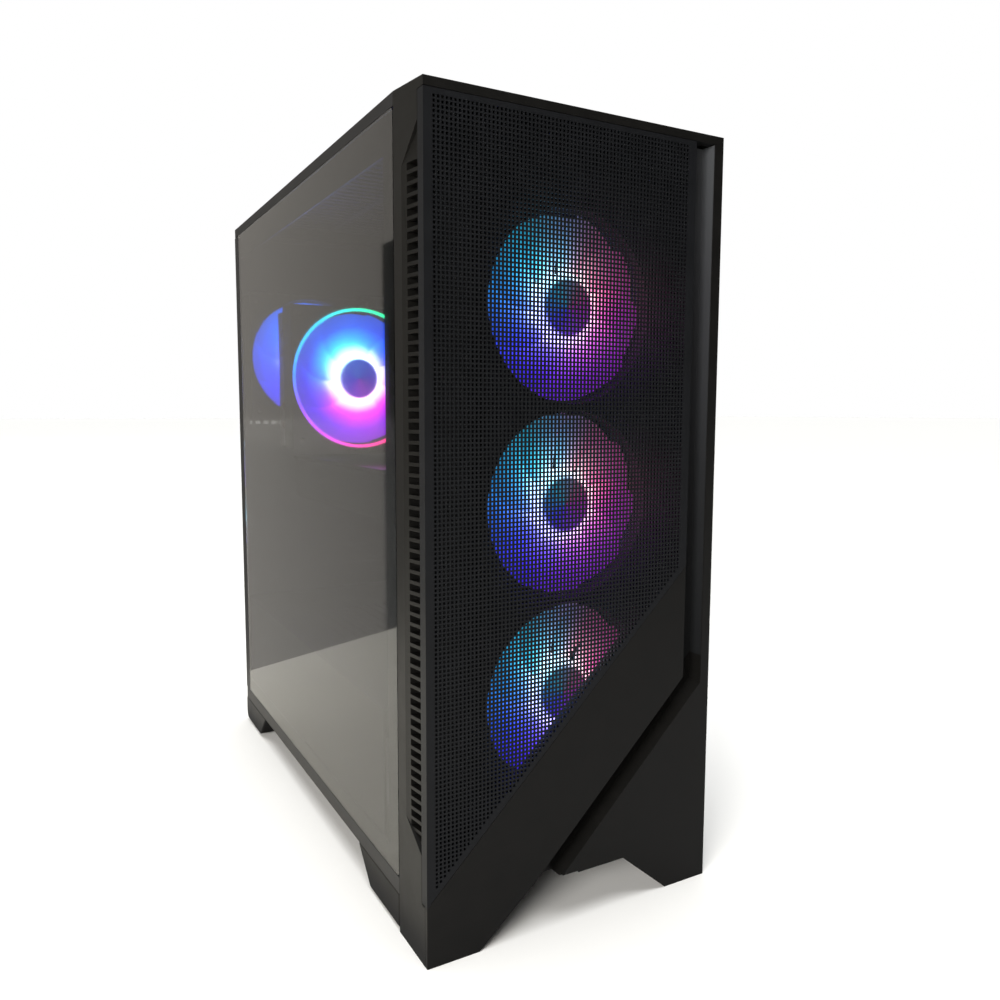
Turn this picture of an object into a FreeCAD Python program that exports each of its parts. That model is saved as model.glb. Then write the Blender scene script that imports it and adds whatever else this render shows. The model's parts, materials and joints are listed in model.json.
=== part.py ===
"""Desktop computer tower: chassis, bezel, side panels, fans, boards and power supply.

Millimetres. Front faces -Y, rear faces +Y, +X is to the right of someone who
looks at the front, +Z is up. The origin is at the bottom centre of the tower.
"""
import FreeCAD, Part
import math
import os

V = FreeCAD.Vector

# ---- Overall sizes ----
WIDTH = 210.0
DEPTH = 440.0
HEIGHT = 495.0

# ---- Sheet, walls and clearances ----
SHEET = 1.2             # steel sheet of the chassis
GLASS = 4.0             # tempered side glass
GAP = 0.4               # gap between pieces that only lie side by side
MOULD = 3.0             # wall of the moulded bezel

# ---- Heights ----
FOOT_HEIGHT = 24.0      # underside of the floor pan
BASE_RAIL = 11.0        # height of the pan's turned-up sides
TOP_RAIL = 7.6          # height of the top plate's turned-down sides

# ---- Bezel ----
BEZEL_DEPTH = 40.0
BEZEL_WALL = 7.0        # side wall, as wide as the strip beside the channel
CAP_FRONT = 5.0         # front face of the cap over the mesh
CAP_DROP = 4.5          # fall of the cap towards the front
CHANNEL_WIDTH = 15.0
CHANNEL_DEPTH = 11.0
ARCH_HEIGHT = 30.0      # arch between the two front feet
ARCH_TOP = 70.0         # width of the arch at its top
FOOT_WIDTH = 34.0
MESH_SHEET = 1.2
MESH_LEFT_Z = 37.0      # lower left corner of the mesh
MESH_FLANGE = 7.0       # part of the mesh folded round the left corner
MESH_BORDER = 4.0       # ledge of the bezel behind the edge of the mesh
BAND_WIDTH = 54.0       # diagonal band, square to its edges
BAND_SHEET = 3.0
VENT_PITCH = 6.1
VENT_SLOT = 4.0
VENT_LENGTH = 15.0
VENT_SPREAD = 8.0       # lowest slot, below the straight part of the recess
VENT_FOOT_SLOPE = 0.7   # slope of the lower end of the recess
VENT_HEAD_SLOPE = 0.9   # slope of its upper end
VENT_RECESS = 3.2
VENT_BOTTOM = 80.0
VENT_TOP_DROP = 43.5    # below the top of the tower
VENT_REAR = 11.5        # from the seam forward to the recess's rear edge

# ---- Fans ----
FAN = 120.0
FAN_DEPTH = 25.0
FAN_RIM = 2.0           # housing beside the bore
FAN_HOLE_EDGE = 7.5     # screw hole's centre to the housing's side
FAN_HUB = 42.0
FAN_TIP_GAP = 1.5
FAN_BLADES = 9
FRONT_FANS = 3
FRONT_FAN_LOW = 140.7   # height of the lowest front fan's centre
REAR_FAN_X = -36.0
REAR_FAN_DROP = 81.0    # below the top edge of the board
FAN_HOLE_R = 2.2

# ---- Motherboard and its tray ----
TRAY_BACK = 26.0        # from the tower's right side to the tray
BOARD = 1.6
BOARD_HEIGHT = 305.0
BOARD_LENGTH = 244.0
BOARD_LIFT = 16.6       # board above the shroud
STANDOFF = 6.3
SHIELD_HEIGHT = 158.75
SHIELD_WIDTH = 44.45
SHIELD_DROP = 12.0
SLOT_PITCH = 20.32
SLOTS = 7

# ---- Cooler ----
COOLER_X = -34.0
COOLER_DROP = 105.5     # cooler's centre below the top edge of the board
COOLER_FAN_FRONT = 56.5
FIN_DEPTH = 50.0
FIN_PITCH = 3.0
FIN_SHEET = 0.8
FIN_COUNT = 40
FIN_INSET = 10.0        # from the fan housing's side to the first fin
PIPE_TIP = 4.0          # ends of the heat pipes past the first fin
PIPE = 6.0

# ---- Graphics card ----
CARD_LENGTH = 240.0
CARD_REACH = 112.0
CARD_THICK = 38.0
CARD_EDGE = 12.0        # from the board's face to the card's lower edge
CARD_FAN = 86.0

# ---- Power supply and drive ----
PSU_WIDTH = 150.0
PSU_HEIGHT = 86.0
PSU_LENGTH = 150.0
PSU_X = 1.0
PSU_LIFT = 4.0
PSU_FAN = 112.0
SHROUD_HEIGHT = 104.0   # shroud's top above the floor
DRIVE_LENGTH = 147.0
DRIVE_WIDTH = 101.6
DRIVE_HEIGHT = 26.1
DRIVE_FRONT = 44.0      # from the seam back to the cage
FILTER = 1.4

# ---- Places worked out from the sizes above ----
LEFT = -WIDTH / 2
RIGHT = WIDTH / 2
FRONT = -DEPTH / 2
REAR = DEPTH / 2
SEAM = FRONT + BEZEL_DEPTH
FLOOR = FOOT_HEIGHT + SHEET
RAIL_TOP = FOOT_HEIGHT + BASE_RAIL
TOP_EDGE = HEIGHT - TOP_RAIL
HEAD = 3.0              # heads of the rear screws, kept inside the depth
REAR_FACE = REAR - HEAD
WALL_IN = REAR_FACE - SHEET
TRAY = RIGHT - TRAY_BACK
BOARD_X = TRAY - STANDOFF - BOARD
SHROUD_TOP = FLOOR + SHROUD_HEIGHT
BOARD_LOW = SHROUD_TOP + SHEET + BOARD_LIFT
BOARD_TOP = BOARD_LOW + BOARD_HEIGHT
BOARD_REAR = WALL_IN - 1.5
BOARD_FRONT = BOARD_REAR - BOARD_LENGTH
SHIELD_TOP = BOARD_TOP - SHIELD_DROP
SHIELD_LOW = SHIELD_TOP - SHIELD_HEIGHT
SLOT_TOP = SHIELD_LOW - 3.0
FAN_BORE = FAN - 2 * FAN_RIM
FAN_HOLES = FAN - 2 * FAN_HOLE_EDGE
REAR_FAN_Z = BOARD_TOP - REAR_FAN_DROP
COOLER_Z = BOARD_TOP - COOLER_DROP
PSU_LOW = FLOOR + PSU_LIFT


# ---- Shape helpers ----
def block(x0, x1, y0, y1, z0, z1):
    """A box between two opposite corners."""
    return Part.makeBox(x1 - x0, y1 - y0, z1 - z0, V(x0, y0, z0))


def rod(radius, base, axis, length):
    """A cylinder from a point along a direction."""
    return Part.makeCylinder(radius, length, base, axis)


def plate_y(points, y0, y1):
    """An outline of (x, z) points, as thick as y0 to y1."""
    loop = [V(x, y0, z) for x, z in points]
    wire = Part.makePolygon(loop + loop[:1])
    return Part.Face(wire).extrude(V(0, y1 - y0, 0))


def plate_x(points, x0, x1):
    """An outline of (y, z) points, as thick as x0 to x1."""
    loop = [V(x0, y, z) for y, z in points]
    wire = Part.makePolygon(loop + loop[:1])
    return Part.Face(wire).extrude(V(x1 - x0, 0, 0))


def plate_z(points, z0, z1):
    """An outline of (x, y) points, as thick as z0 to z1."""
    loop = [V(x, y, z0) for x, y in points]
    wire = Part.makePolygon(loop + loop[:1])
    return Part.Face(wire).extrude(V(0, 0, z1 - z0))


def fused(shapes):
    """One solid made of several that touch or overlap."""
    whole = shapes[0].multiFuse(shapes[1:]).removeSplitter()
    return whole.Solids[0] if len(whole.Solids) == 1 else whole


def spread(low, high, count):
    """Evenly spaced places from low to high."""
    if count < 2:
        return [(low + high) / 2]
    return [low + (high - low) * i / (count - 1) for i in range(count)]


def square_holes(centre, axis, pitch, radius, length):
    """Four holes on a square, along X, Y or Z from the centre's plane."""
    half = pitch / 2
    drills = []
    for a in (-half, half):
        for b in (-half, half):
            if axis.y:
                at = centre + V(a, 0, b)
            elif axis.z:
                at = centre + V(a, b, 0)
            else:
                at = centre + V(0, a, b)
            drills.append(rod(radius, at, axis, length))
    return drills


def save(name, shape):
    """Write one named piece."""
    shape.exportStep("parts/" + name + ".step")


# ---- Chassis ----
def floor_pan():
    """Folded floor with turned-up sides and air slots under the power supply."""
    pan = block(LEFT, RIGHT, SEAM, REAR_FACE, FOOT_HEIGHT, RAIL_TOP)
    pan = pan.cut(block(LEFT + SHEET, RIGHT - SHEET, SEAM - 1, REAR_FACE + 1, FLOOR, RAIL_TOP + 1))
    slots = []
    middle = WALL_IN - PSU_LENGTH / 2
    for y in spread(middle - PSU_FAN / 2, middle + PSU_FAN / 2, 12):
        slots.append(block(PSU_X - PSU_FAN / 2, PSU_X + PSU_FAN / 2, y - 3, y + 3,
                           FOOT_HEIGHT - 1, FLOOR + 1))
    return pan.cut(Part.makeCompound(slots))


def feet():
    """Four moulded feet under the floor, the front pair in line with the bezel."""
    reach = FOOT_WIDTH
    front = [(SEAM + GAP, 2.0), (SEAM + 50, 2.0), (SEAM + 72, FOOT_HEIGHT), (SEAM + GAP, FOOT_HEIGHT)]
    rear = [(REAR - 54, 2.0), (REAR - 4, 2.0), (REAR, 8.0), (REAR, FOOT_HEIGHT), (REAR - 76, FOOT_HEIGHT)]
    pieces = []
    for outline in (front, rear):
        pieces.append(plate_x(outline, LEFT, LEFT + reach))
        pieces.append(plate_x(outline, RIGHT - reach, RIGHT))
    return Part.makeCompound(pieces)


def foot_pads():
    """Rubber pads set under the feet."""
    pads = []
    for y in (SEAM + 26, REAR - 30):
        for x in (LEFT + FOOT_WIDTH / 2, RIGHT - FOOT_WIDTH / 2):
            pads.append(block(x - 11, x + 11, y - 16, y + 16, 0.0, 2.0))
    return Part.makeCompound(pads)


def front_fan_places():
    """Heights of the front fans' centres, stacked edge to edge."""
    return [FRONT_FAN_LOW + FAN * i for i in range(FRONT_FANS)]


def front_wall():
    """Steel wall behind the bezel, open behind each front fan."""
    wall = block(LEFT + GLASS + GAP, RIGHT - SHEET - GAP, SEAM, SEAM + SHEET, FLOOR, TOP_EDGE - GAP)
    cuts = []
    for z in front_fan_places():
        cuts.append(rod(FAN_BORE / 2, V(0, SEAM - 1, z), V(0, 1, 0), SHEET + 2))
        cuts += square_holes(V(0, SEAM - 1, z), V(0, 1, 0), FAN_HOLES, FAN_HOLE_R, SHEET + 2)
    return wall.cut(Part.makeCompound(cuts))


def slot_height(index):
    """Height of the middle of an expansion slot, the top one first."""
    return SLOT_TOP - SLOT_PITCH * (index + 0.5)


def rear_wall():
    """Rear wall: vents, fan opening, board sockets, expansion slots, power supply."""
    wall = block(LEFT + GLASS + GAP, RIGHT - SHEET - GAP, WALL_IN, REAR_FACE, FLOOR, TOP_EDGE - GAP)
    back = V(0, 1, 0)
    cuts = [rod(FAN_BORE / 2, V(REAR_FAN_X, WALL_IN - 1, REAR_FAN_Z), back, SHEET + 2)]
    cuts += square_holes(V(REAR_FAN_X, WALL_IN - 1, REAR_FAN_Z), back, FAN_HOLES, FAN_HOLE_R, SHEET + 2)
    side = BOARD_X + BOARD
    cuts.append(block(side - SHIELD_WIDTH, side, WALL_IN - 1, REAR_FACE + 1, SHIELD_LOW, SHIELD_TOP))
    for i in range(SLOTS):
        z = slot_height(i)
        cuts.append(block(BOARD_X - 108, BOARD_X - 4, WALL_IN - 1, REAR_FACE + 1, z - 7.5, z + 7.5))
    half = PSU_WIDTH / 2
    cuts.append(block(PSU_X - half + 5, PSU_X + half - 5, WALL_IN - 1, REAR_FACE + 1, PSU_LOW + 5,
                      PSU_LOW + PSU_HEIGHT - 5))
    for z in (REAR_FAN_Z + FAN / 2 + 4, REAR_FAN_Z - FAN / 2 - 4):
        for x in spread(REAR_FAN_X - 56, REAR_FAN_X + 56, 15):
            cuts.append(block(x - 2.6, x + 2.6, WALL_IN - 1, REAR_FACE + 1, z - 1.7, z + 1.7))
    return wall.cut(Part.makeCompound(cuts))


def motherboard_tray():
    """Upright sheet that carries the motherboard and hides the wiring."""
    sheet = block(TRAY, TRAY + SHEET, SEAM + SHEET + GAP, WALL_IN - GAP,
                  SHROUD_TOP + SHEET + GAP, TOP_EDGE - GAP)
    cuts = [block(TRAY - 1, TRAY + SHEET + 1, cooler_y() - 45, cooler_y() + 45, COOLER_Z - 40, COOLER_Z + 40)]
    for z in spread(BOARD_LOW + 50, BOARD_TOP - 50, 3):
        cuts.append(block(TRAY - 1, TRAY + SHEET + 1, BOARD_FRONT - 50, BOARD_FRONT - 20, z - 35, z + 35))
    return sheet.cut(Part.makeCompound(cuts))


def top_plate():
    """Folded top with a shallow pocket of air slots for the dust filter."""
    top = block(LEFT, RIGHT, SEAM, REAR_FACE, TOP_EDGE, HEIGHT)
    room = block(LEFT + SHEET, RIGHT - SHEET, SEAM - 1, REAR_FACE - SHEET,
                 TOP_EDGE - 1, HEIGHT - SHEET - FILTER)
    top = top.cut(room)
    x0, x1, y0, y1 = filter_pocket()
    cuts = [block(x0, x1, y0, y1, HEIGHT - FILTER, HEIGHT + 1)]
    for y in spread(y0 + 12, y1 - 12, 30):
        for middle in (-44.0, 0.0, 44.0):
            cuts.append(block(middle - 19, middle + 19, y - 2.4, y + 2.4, HEIGHT - 5, HEIGHT + 1))
    bar = io_place()
    cuts.append(block(bar[0], bar[1], bar[2], bar[3], TOP_EDGE, HEIGHT + 1))
    return top.cut(Part.makeCompound(cuts))


def filter_pocket():
    """Sides of the top filter's pocket: x0, x1, y0, y1."""
    return LEFT + 32, RIGHT - 32, SEAM + 42, REAR_FACE - 40


def io_place():
    """Sides of the opening for the socket bar: x0, x1, y0, y1."""
    return LEFT + 30, RIGHT - 30, SEAM + 8, SEAM + 32


def psu_shroud():
    """Cover over the power supply and drive bay, with its side behind the glass."""
    roof = block(LEFT + 6, TRAY + SHEET, SEAM + 30, WALL_IN - GAP, SHROUD_TOP, SHROUD_TOP + SHEET)
    side = block(LEFT + 6, LEFT + 6 + SHEET, SEAM + 30, WALL_IN - GAP, FLOOR, SHROUD_TOP + SHEET)
    cover = roof.fuse(side)
    slots = []
    for x in spread(LEFT + 40, TRAY - 40, 12):
        slots.append(block(x - 2, x + 2, 20.0, 120.0, SHROUD_TOP - 1, SHROUD_TOP + SHEET + 1))
    slots.append(block(TRAY - 40, TRAY - 10, SEAM + 50, SEAM + 110, SHROUD_TOP - 1, SHROUD_TOP + SHEET + 1))
    return cover.cut(Part.makeCompound(slots)).removeSplitter()


def side_frame(x0, x1):
    """Steel border that a side panel closes against."""
    y0, y1 = SEAM + SHEET + GAP, WALL_IN - GAP
    z0, z1 = FLOOR, TOP_EDGE - GAP
    ring = block(x0, x1, y0, y1, z0, z1)
    return ring.cut(block(x0 - 1, x1 + 1, y0 + 17, y1 - 12, z0 + 22, z1 - 22))


def left_frame():
    """Border behind the glass."""
    return side_frame(LEFT + GLASS + GAP, LEFT + GLASS + GAP + SHEET)


def right_frame():
    """Border behind the steel side panel."""
    return side_frame(RIGHT - 2 * SHEET - GAP, RIGHT - SHEET - GAP)


def glass_panel():
    """Tempered glass with rounded upper front corner."""
    y0, y1 = SEAM + GAP, REAR_FACE - 14
    pane = block(LEFT, LEFT + GLASS, y0, y1, RAIL_TOP + GAP, TOP_EDGE - GAP)
    corners = [e for e in pane.Edges if abs(e.Length - GLASS) < 0.01]
    return pane.makeFillet(2.5, corners)


def glass_flange():
    """Steel strip along the glass's rear edge, folded behind the rear wall."""
    strip = block(LEFT, LEFT + SHEET, REAR_FACE - 14 + GAP, REAR_FACE + SHEET, RAIL_TOP + GAP, TOP_EDGE - GAP)
    fold = block(LEFT, LEFT + 13, REAR_FACE + 0.2, REAR_FACE + SHEET, RAIL_TOP + GAP, TOP_EDGE - GAP)
    tab = block(LEFT + SHEET, LEFT + GLASS - 0.8, REAR_FACE - 14 + GAP, REAR_FACE - 12,
                RAIL_TOP + 3, TOP_EDGE - 3)
    return fused([strip, fold, tab])


def thumb_heads(x):
    """Two thumbscrew heads on a panel's rear fold."""
    heads = []
    for z in (RAIL_TOP + 60, TOP_EDGE - 60):
        heads.append(rod(5.0, V(x, REAR_FACE + SHEET, z), V(0, 1, 0), HEAD - SHEET))
    return Part.makeCompound(heads)


def right_panel():
    """Steel side panel with a rear fold."""
    sheet = block(RIGHT - SHEET, RIGHT, SEAM + GAP, REAR_FACE + SHEET, RAIL_TOP + GAP, TOP_EDGE - GAP)
    fold = block(RIGHT - 13, RIGHT, REAR_FACE + 0.2, REAR_FACE + SHEET, RAIL_TOP + GAP, TOP_EDGE - GAP)
    return fused([sheet, fold])


def top_filter():
    """Magnetic dust filter that lies in the top's pocket."""
    x0, x1, y0, y1 = filter_pocket()
    frame = block(x0 + GAP, x1 - GAP, y0 + GAP, y1 - GAP, HEIGHT - FILTER + 0.02, HEIGHT - 0.1)
    return frame


def psu_filter():
    """Dust filter drawer that slides out behind, under the power supply."""
    y0 = WALL_IN - PSU_LENGTH
    return block(PSU_X - 64, PSU_X + 64, y0, REAR - 1.0, FOOT_HEIGHT - 4.4, FOOT_HEIGHT - GAP)


def filter_rails():
    """Two runners under the floor that hold the filter drawer."""
    y0 = WALL_IN - PSU_LENGTH
    rails = []
    for side in (-1, 1):
        x = PSU_X + side * 66.5
        rails.append(block(x - 1.5, x + 1.5, y0, REAR_FACE - 4, FOOT_HEIGHT - 5, FOOT_HEIGHT))
    return rails


def io_panel():
    """Moulded bar in the top that carries the buttons and sockets."""
    x0, x1, y0, y1 = io_place()
    bar = block(x0 + GAP, x1 - GAP, y0 + GAP, y1 - GAP, TOP_EDGE + 1, HEIGHT - 0.6)
    y = (y0 + y1) / 2
    cuts = [rod(8.3, V(POWER_X, y, TOP_EDGE), V(0, 0, 1), TOP_RAIL)]
    cuts.append(rod(3.8, V(RESET_X, y, TOP_EDGE), V(0, 0, 1), TOP_RAIL))
    for x in USB_X:
        cuts.append(block(x - 7.4, x + 7.4, y - 3.6, y + 3.6, TOP_EDGE, HEIGHT))
    for x in JACK_X:
        cuts.append(rod(3.6, V(x, y, TOP_EDGE), V(0, 0, 1), TOP_RAIL))
    return bar.cut(Part.makeCompound(cuts))


POWER_X = LEFT + 47.0
RESET_X = LEFT + 66.0
USB_X = (LEFT + 100.0, LEFT + 122.0)
JACK_X = (LEFT + 146.0, LEFT + 160.0)


def io_sockets():
    """USB and sound sockets, standing up through the bar."""
    y = (io_place()[2] + io_place()[3]) / 2
    low = TOP_EDGE - 10
    top = HEIGHT - 0.8
    pieces = []
    for x in USB_X:
        shell = block(x - 7.0, x + 7.0, y - 3.2, y + 3.2, low, top)
        pieces.append(shell.cut(block(x - 6.25, x + 6.25, y - 2.56, y + 2.56, low + 1.5, top + 1)))
    for x in JACK_X:
        collar = rod(3.2, V(x, y, low), V(0, 0, 1), top - low)
        pieces.append(collar.cut(rod(1.8, V(x, y, low + 1.5), V(0, 0, 1), top - low)))
    return Part.makeCompound(pieces)


def power_button():
    """Round power button on a stem."""
    y = (io_place()[2] + io_place()[3]) / 2
    head = rod(7.9, V(POWER_X, y, HEIGHT - 4), V(0, 0, 1), 3.9)
    return fused([head, rod(3.0, V(POWER_X, y, TOP_EDGE - 6), V(0, 0, 1), TOP_RAIL + 3)])


def reset_button():
    """Small round reset button on a stem."""
    y = (io_place()[2] + io_place()[3]) / 2
    return rod(3.4, V(RESET_X, y, TOP_EDGE - 6), V(0, 0, 1), TOP_RAIL + 5.7)


# ---- Fans ----
def along(axis, a, b, c):
    """A point given across, across and along a fan's axis (Y or Z)."""
    return V(a, c, b) if axis == "y" else V(a, b, c)


def fan_frame(axis, centre, size, bore, depth, hub, hub_at_high):
    """Square fan housing with a round bore and a motor held by four struts.

    The centre is on the low face; the struts are at the high or the low face.
    """
    half = size / 2
    direction = along(axis, 0, 0, 1)
    if axis == "y":
        body = block(centre.x - half, centre.x + half, centre.y, centre.y + depth,
                     centre.z - half, centre.z + half)
    else:
        body = block(centre.x - half, centre.x + half, centre.y - half, centre.y + half,
                     centre.z, centre.z + depth)
    body = body.cut(rod(bore / 2, centre - direction, direction, depth + 2))
    holes = square_holes(centre - direction, direction, size * FAN_HOLES / FAN, FAN_HOLE_R, depth + 2)
    body = body.cut(Part.makeCompound(holes))
    base = centre + direction * ((depth - 3) if hub_at_high else 0)
    pieces = [body, rod(hub / 2, base, direction, 3)]
    for turn in range(4):
        arm = block(hub / 2 - 2, bore / 2 + 1, -2, 2, 0, 3)
        if axis == "y":
            arm.rotate(V(0, 0, 0), V(1, 0, 0), -90)
            arm.translate(V(0, 0, 0))
        arm.rotate(V(0, 0, 0), direction, 45 + 90 * turn)
        arm.translate(base)
        pieces.append(arm)
    return fused(pieces)


def rotor(axis, centre, tip, hub, thick, start):
    """Hub with pitched flat blades; start is how far it stands from the centre's plane."""
    direction = V(0, 0, 1)
    shape = [rod(hub / 2, V(0, 0, start), direction, thick)]
    for i in range(FAN_BLADES):
        blade = block(hub / 2 - 1.5, tip, -0.9, 0.9, -thick * 0.5, thick * 0.5)
        blade.rotate(V(0, 0, 0), V(1, 0, 0), 52)
        blade.translate(V(0, 0, start + thick / 2))
        blade.rotate(V(0, 0, 0), direction, 360.0 * i / FAN_BLADES)
        shape.append(blade)
    whole = fused(shape)
    if axis == "y":
        whole.rotate(V(0, 0, 0), V(1, 0, 0), -90)
    whole.translate(centre)
    return whole


# ---- Motherboard and what sits on it ----
def slot_brackets():
    """The card's two-slot bracket and the covers over the unused slots."""
    spans = [(1, 0)] + [(i, i) for i in range(2, SLOTS)]
    brackets = []
    for low, high in spans:
        z0 = slot_height(low) - 9.2
        z1 = slot_height(high) + 9.2
        brackets.append(block(BOARD_X - 112, BOARD_X - 1, WALL_IN - 1.4, WALL_IN - GAP, z0, z1))
    return Part.makeCompound(brackets)


def io_shield():
    """Pressed sheet round the board's sockets."""
    side = BOARD_X + BOARD
    sheet = block(side - SHIELD_WIDTH + 0.2, side - 0.2, WALL_IN, REAR_FACE,
                  SHIELD_LOW + 0.2, SHIELD_TOP - 0.2)
    cuts = []
    for low, high, depth in PORT_ROWS:
        cuts.append(block(BOARD_X - 1.7 - depth, BOARD_X + 0.3, WALL_IN - 1, REAR_FACE + 1,
                          SHIELD_LOW + low - 0.3, SHIELD_LOW + high + 0.3))
    return sheet.cut(Part.makeCompound(cuts))


PORT_ROWS = ((6, 22, 30), (28, 42, 16), (50, 66, 16), (72, 88, 30), (94, 110, 14), (118, 152, 34))


def rear_ports():
    """Blocks of sockets along the board's rear edge."""
    ports = []
    side = BOARD_X
    for low, high, depth in PORT_ROWS:
        ports.append(block(side - 1.4 - depth, side, REAR_FACE - 22, REAR_FACE - 0.4, SHIELD_LOW + low,
                           SHIELD_LOW + high))
    return Part.makeCompound(ports)


def motherboard():
    """Printed board on its stand-offs."""
    board = block(BOARD_X, BOARD_X + BOARD, BOARD_FRONT, BOARD_REAR, BOARD_LOW, BOARD_TOP)
    holes = [rod(2.0, V(BOARD_X - 1, y, z), V(1, 0, 0), BOARD + 2) for y, z in standoff_places()]
    return board.cut(Part.makeCompound(holes))


def standoff_places():
    """Places of the nine board screws, (y, z)."""
    rows = spread(BOARD_LOW + 8, BOARD_TOP - 10, 3)
    columns = (BOARD_FRONT + 8, BOARD_FRONT + 88, BOARD_REAR - 34)
    return [(y, z) for y in columns for z in rows]


def standoffs():
    """Posts between the tray and the board."""
    return [rod(2.8, V(BOARD_X + BOARD, y, z), V(1, 0, 0), STANDOFF) for y, z in standoff_places()]


def board_sockets():
    """Processor socket, memory sockets, expansion sockets and power sockets."""
    x = BOARD_X
    mid = cooler_y()
    parts = [block(x - 5, x, mid - 27, mid + 27, COOLER_Z - 29, COOLER_Z + 29)]
    for y in memory_places():
        parts.append(block(x - 7, x, y - 3, y + 3, COOLER_Z - 68, COOLER_Z + 68))
    for i in (0, 2, 4):
        z = slot_height(i)
        parts.append(block(x - 11, x, BOARD_REAR - 150, BOARD_REAR - 62, z - 3.5, z + 3.5))
    parts.append(block(x - 12, x, BOARD_FRONT + 2, BOARD_FRONT + 12, COOLER_Z - 60, COOLER_Z - 8))
    return Part.makeCompound(parts)


def cooler_y():
    """Middle of the cooler's fin stack from front to rear."""
    return COOLER_FAN_FRONT + FAN_DEPTH + 1 + FIN_DEPTH / 2


def memory_places():
    """Places of the memory sockets, in front of the processor."""
    return [BOARD_FRONT + 32 + 10 * i for i in range(4)]


def memory_sticks():
    """Two memory modules with heat spreaders."""
    sticks = []
    for y in memory_places()[1::2]:
        sticks.append(block(BOARD_X - 38, BOARD_X - 7, y - 3.2, y + 3.2, COOLER_Z - 66, COOLER_Z + 66))
    return Part.makeCompound(sticks)


def board_heatsinks():
    """Finned blocks over the voltage regulators and the chipset."""
    x = BOARD_X
    rear = block(x - 26, x, BOARD_REAR - 62, BOARD_REAR - 30, COOLER_Z - 40, BOARD_TOP - 20)
    top = block(x - 22, x, cooler_y() - 40, cooler_y() + 44, BOARD_TOP - 34, BOARD_TOP - 10)
    chip = block(x - 8, x, BOARD_FRONT + 20, BOARD_FRONT + 76, BOARD_LOW + 40, BOARD_LOW + 96)
    return Part.makeCompound([rear, top, chip])


def m2_drive():
    """Flat solid-state drive screwed down between the sockets."""
    z = slot_height(1)
    return block(BOARD_X - 4, BOARD_X - 0.5, BOARD_REAR - 160, BOARD_REAR - 80, z - 11, z + 4)


# ---- Cooler ----
def cooler_base():
    """Copper block on the processor with its mounting bar."""
    y = cooler_y()
    foot = block(BOARD_X - 19, BOARD_X - 5, y - 20, y + 20, COOLER_Z - 20, COOLER_Z + 20)
    bar = block(BOARD_X - 13, BOARD_X - 9, y - 10, y + 10, COOLER_Z - 46, COOLER_Z + 46)
    return fused([foot, bar])


def pipe_places():
    """Heights of the heat pipes' legs."""
    return [COOLER_Z + side * off for side in (-1, 1) for off in (23.5, 40.0)]


def cooler_pipes():
    """Upright legs of the heat pipes from the base into the fins."""
    top = COOLER_X - FAN / 2 + FIN_INSET - PIPE_TIP
    y = cooler_y()
    pipes = []
    for z in pipe_places():
        leg = rod(PIPE / 2, V(top, y, z), V(1, 0, 0), BOARD_X - 15 - top)
        toe = block(BOARD_X - 18, BOARD_X - 12, y - 2.5, y + 2.5, min(z, COOLER_Z), max(z, COOLER_Z))
        toe = toe.cut(block(BOARD_X - 30, BOARD_X, y - 20.1, y + 20.1, COOLER_Z - 20.1, COOLER_Z + 20.1))
        pipes.append(fused([leg.cut(cooler_bar_space()), toe.cut(cooler_bar_space())]))
    return Part.makeCompound(pipes)


def cooler_bar_space():
    """Room round the mounting bar."""
    y = cooler_y()
    return block(BOARD_X - 13.1, BOARD_X - 8, y - 10.1, y + 10.1, COOLER_Z - 47, COOLER_Z + 47)


def cooler_fins():
    """Stack of thin fins joined along two folded edges."""
    y0 = cooler_y() - FIN_DEPTH / 2
    y1 = y0 + FIN_DEPTH
    z0, z1 = COOLER_Z - FAN / 2, COOLER_Z + FAN / 2
    low = COOLER_X - FAN / 2 + FIN_INSET
    fins = []
    for i in range(FIN_COUNT):
        x = low + FIN_PITCH * i
        fins.append(block(x, x + FIN_SHEET, y0, y1, z0, z1))
    length = FIN_PITCH * (FIN_COUNT - 1) + FIN_SHEET
    for z in (z0, z1 - FIN_SHEET):
        fins.append(block(low, low + length, y0 + 12, y1 - 12, z, z + FIN_SHEET))
    stack = fins[0].multiFuse(fins[1:])
    drills = [rod(PIPE / 2, V(low - 1, cooler_y(), z), V(1, 0, 0), length + 2) for z in pipe_places()]
    return stack.cut(Part.makeCompound(drills))


# ---- Graphics card ----
def card_box():
    """Card's sides: reach to the left, rear end, front end, underside of its board."""
    return BOARD_X - 8 - CARD_REACH, WALL_IN - 3, WALL_IN - 3 - CARD_LENGTH, slot_height(0) + 2


def graphics_board():
    """Printed board of the graphics card."""
    x0, rear, front, z = card_box()
    return block(x0, BOARD_X - CARD_EDGE, front, rear, z, z + BOARD)


def graphics_backplate():
    """Stiff plate over the card's board."""
    x0, rear, front, z = card_box()
    return block(x0, BOARD_X - CARD_EDGE, front, rear, z + BOARD, z + BOARD + 1.2)


def card_fan_places():
    """Middles of the card's two fans, front to rear."""
    rear, front = card_box()[1:3]
    return spread(front + CARD_FAN / 2 + 10, rear - CARD_FAN / 2 - 26, 2)


def card_fan_x():
    """Middle of the card's fans across the tower."""
    return (card_box()[0] + BOARD_X - CARD_EDGE) / 2


def graphics_shroud():
    """Moulded cover with two round openings."""
    x0, rear, front, z = card_box()
    low = z - CARD_THICK
    body = block(x0, BOARD_X - CARD_EDGE, front, rear - 6, low, z - 0.2)
    body = body.cut(block(x0 + 2, BOARD_X - CARD_EDGE - 2, front + 2, rear - 8, low + 2, z + 1))
    cuts = [rod(CARD_FAN / 2, V(card_fan_x(), y, low - 1), V(0, 0, 1), 6) for y in card_fan_places()]
    return body.cut(Part.makeCompound(cuts))


def graphics_sink():
    """Finned block under the card's board."""
    x0, rear, front, z = card_box()
    return block(x0 + 4, BOARD_X - CARD_EDGE - 4, front + 6, rear - 12, z - 20, z - 0.4)


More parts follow.
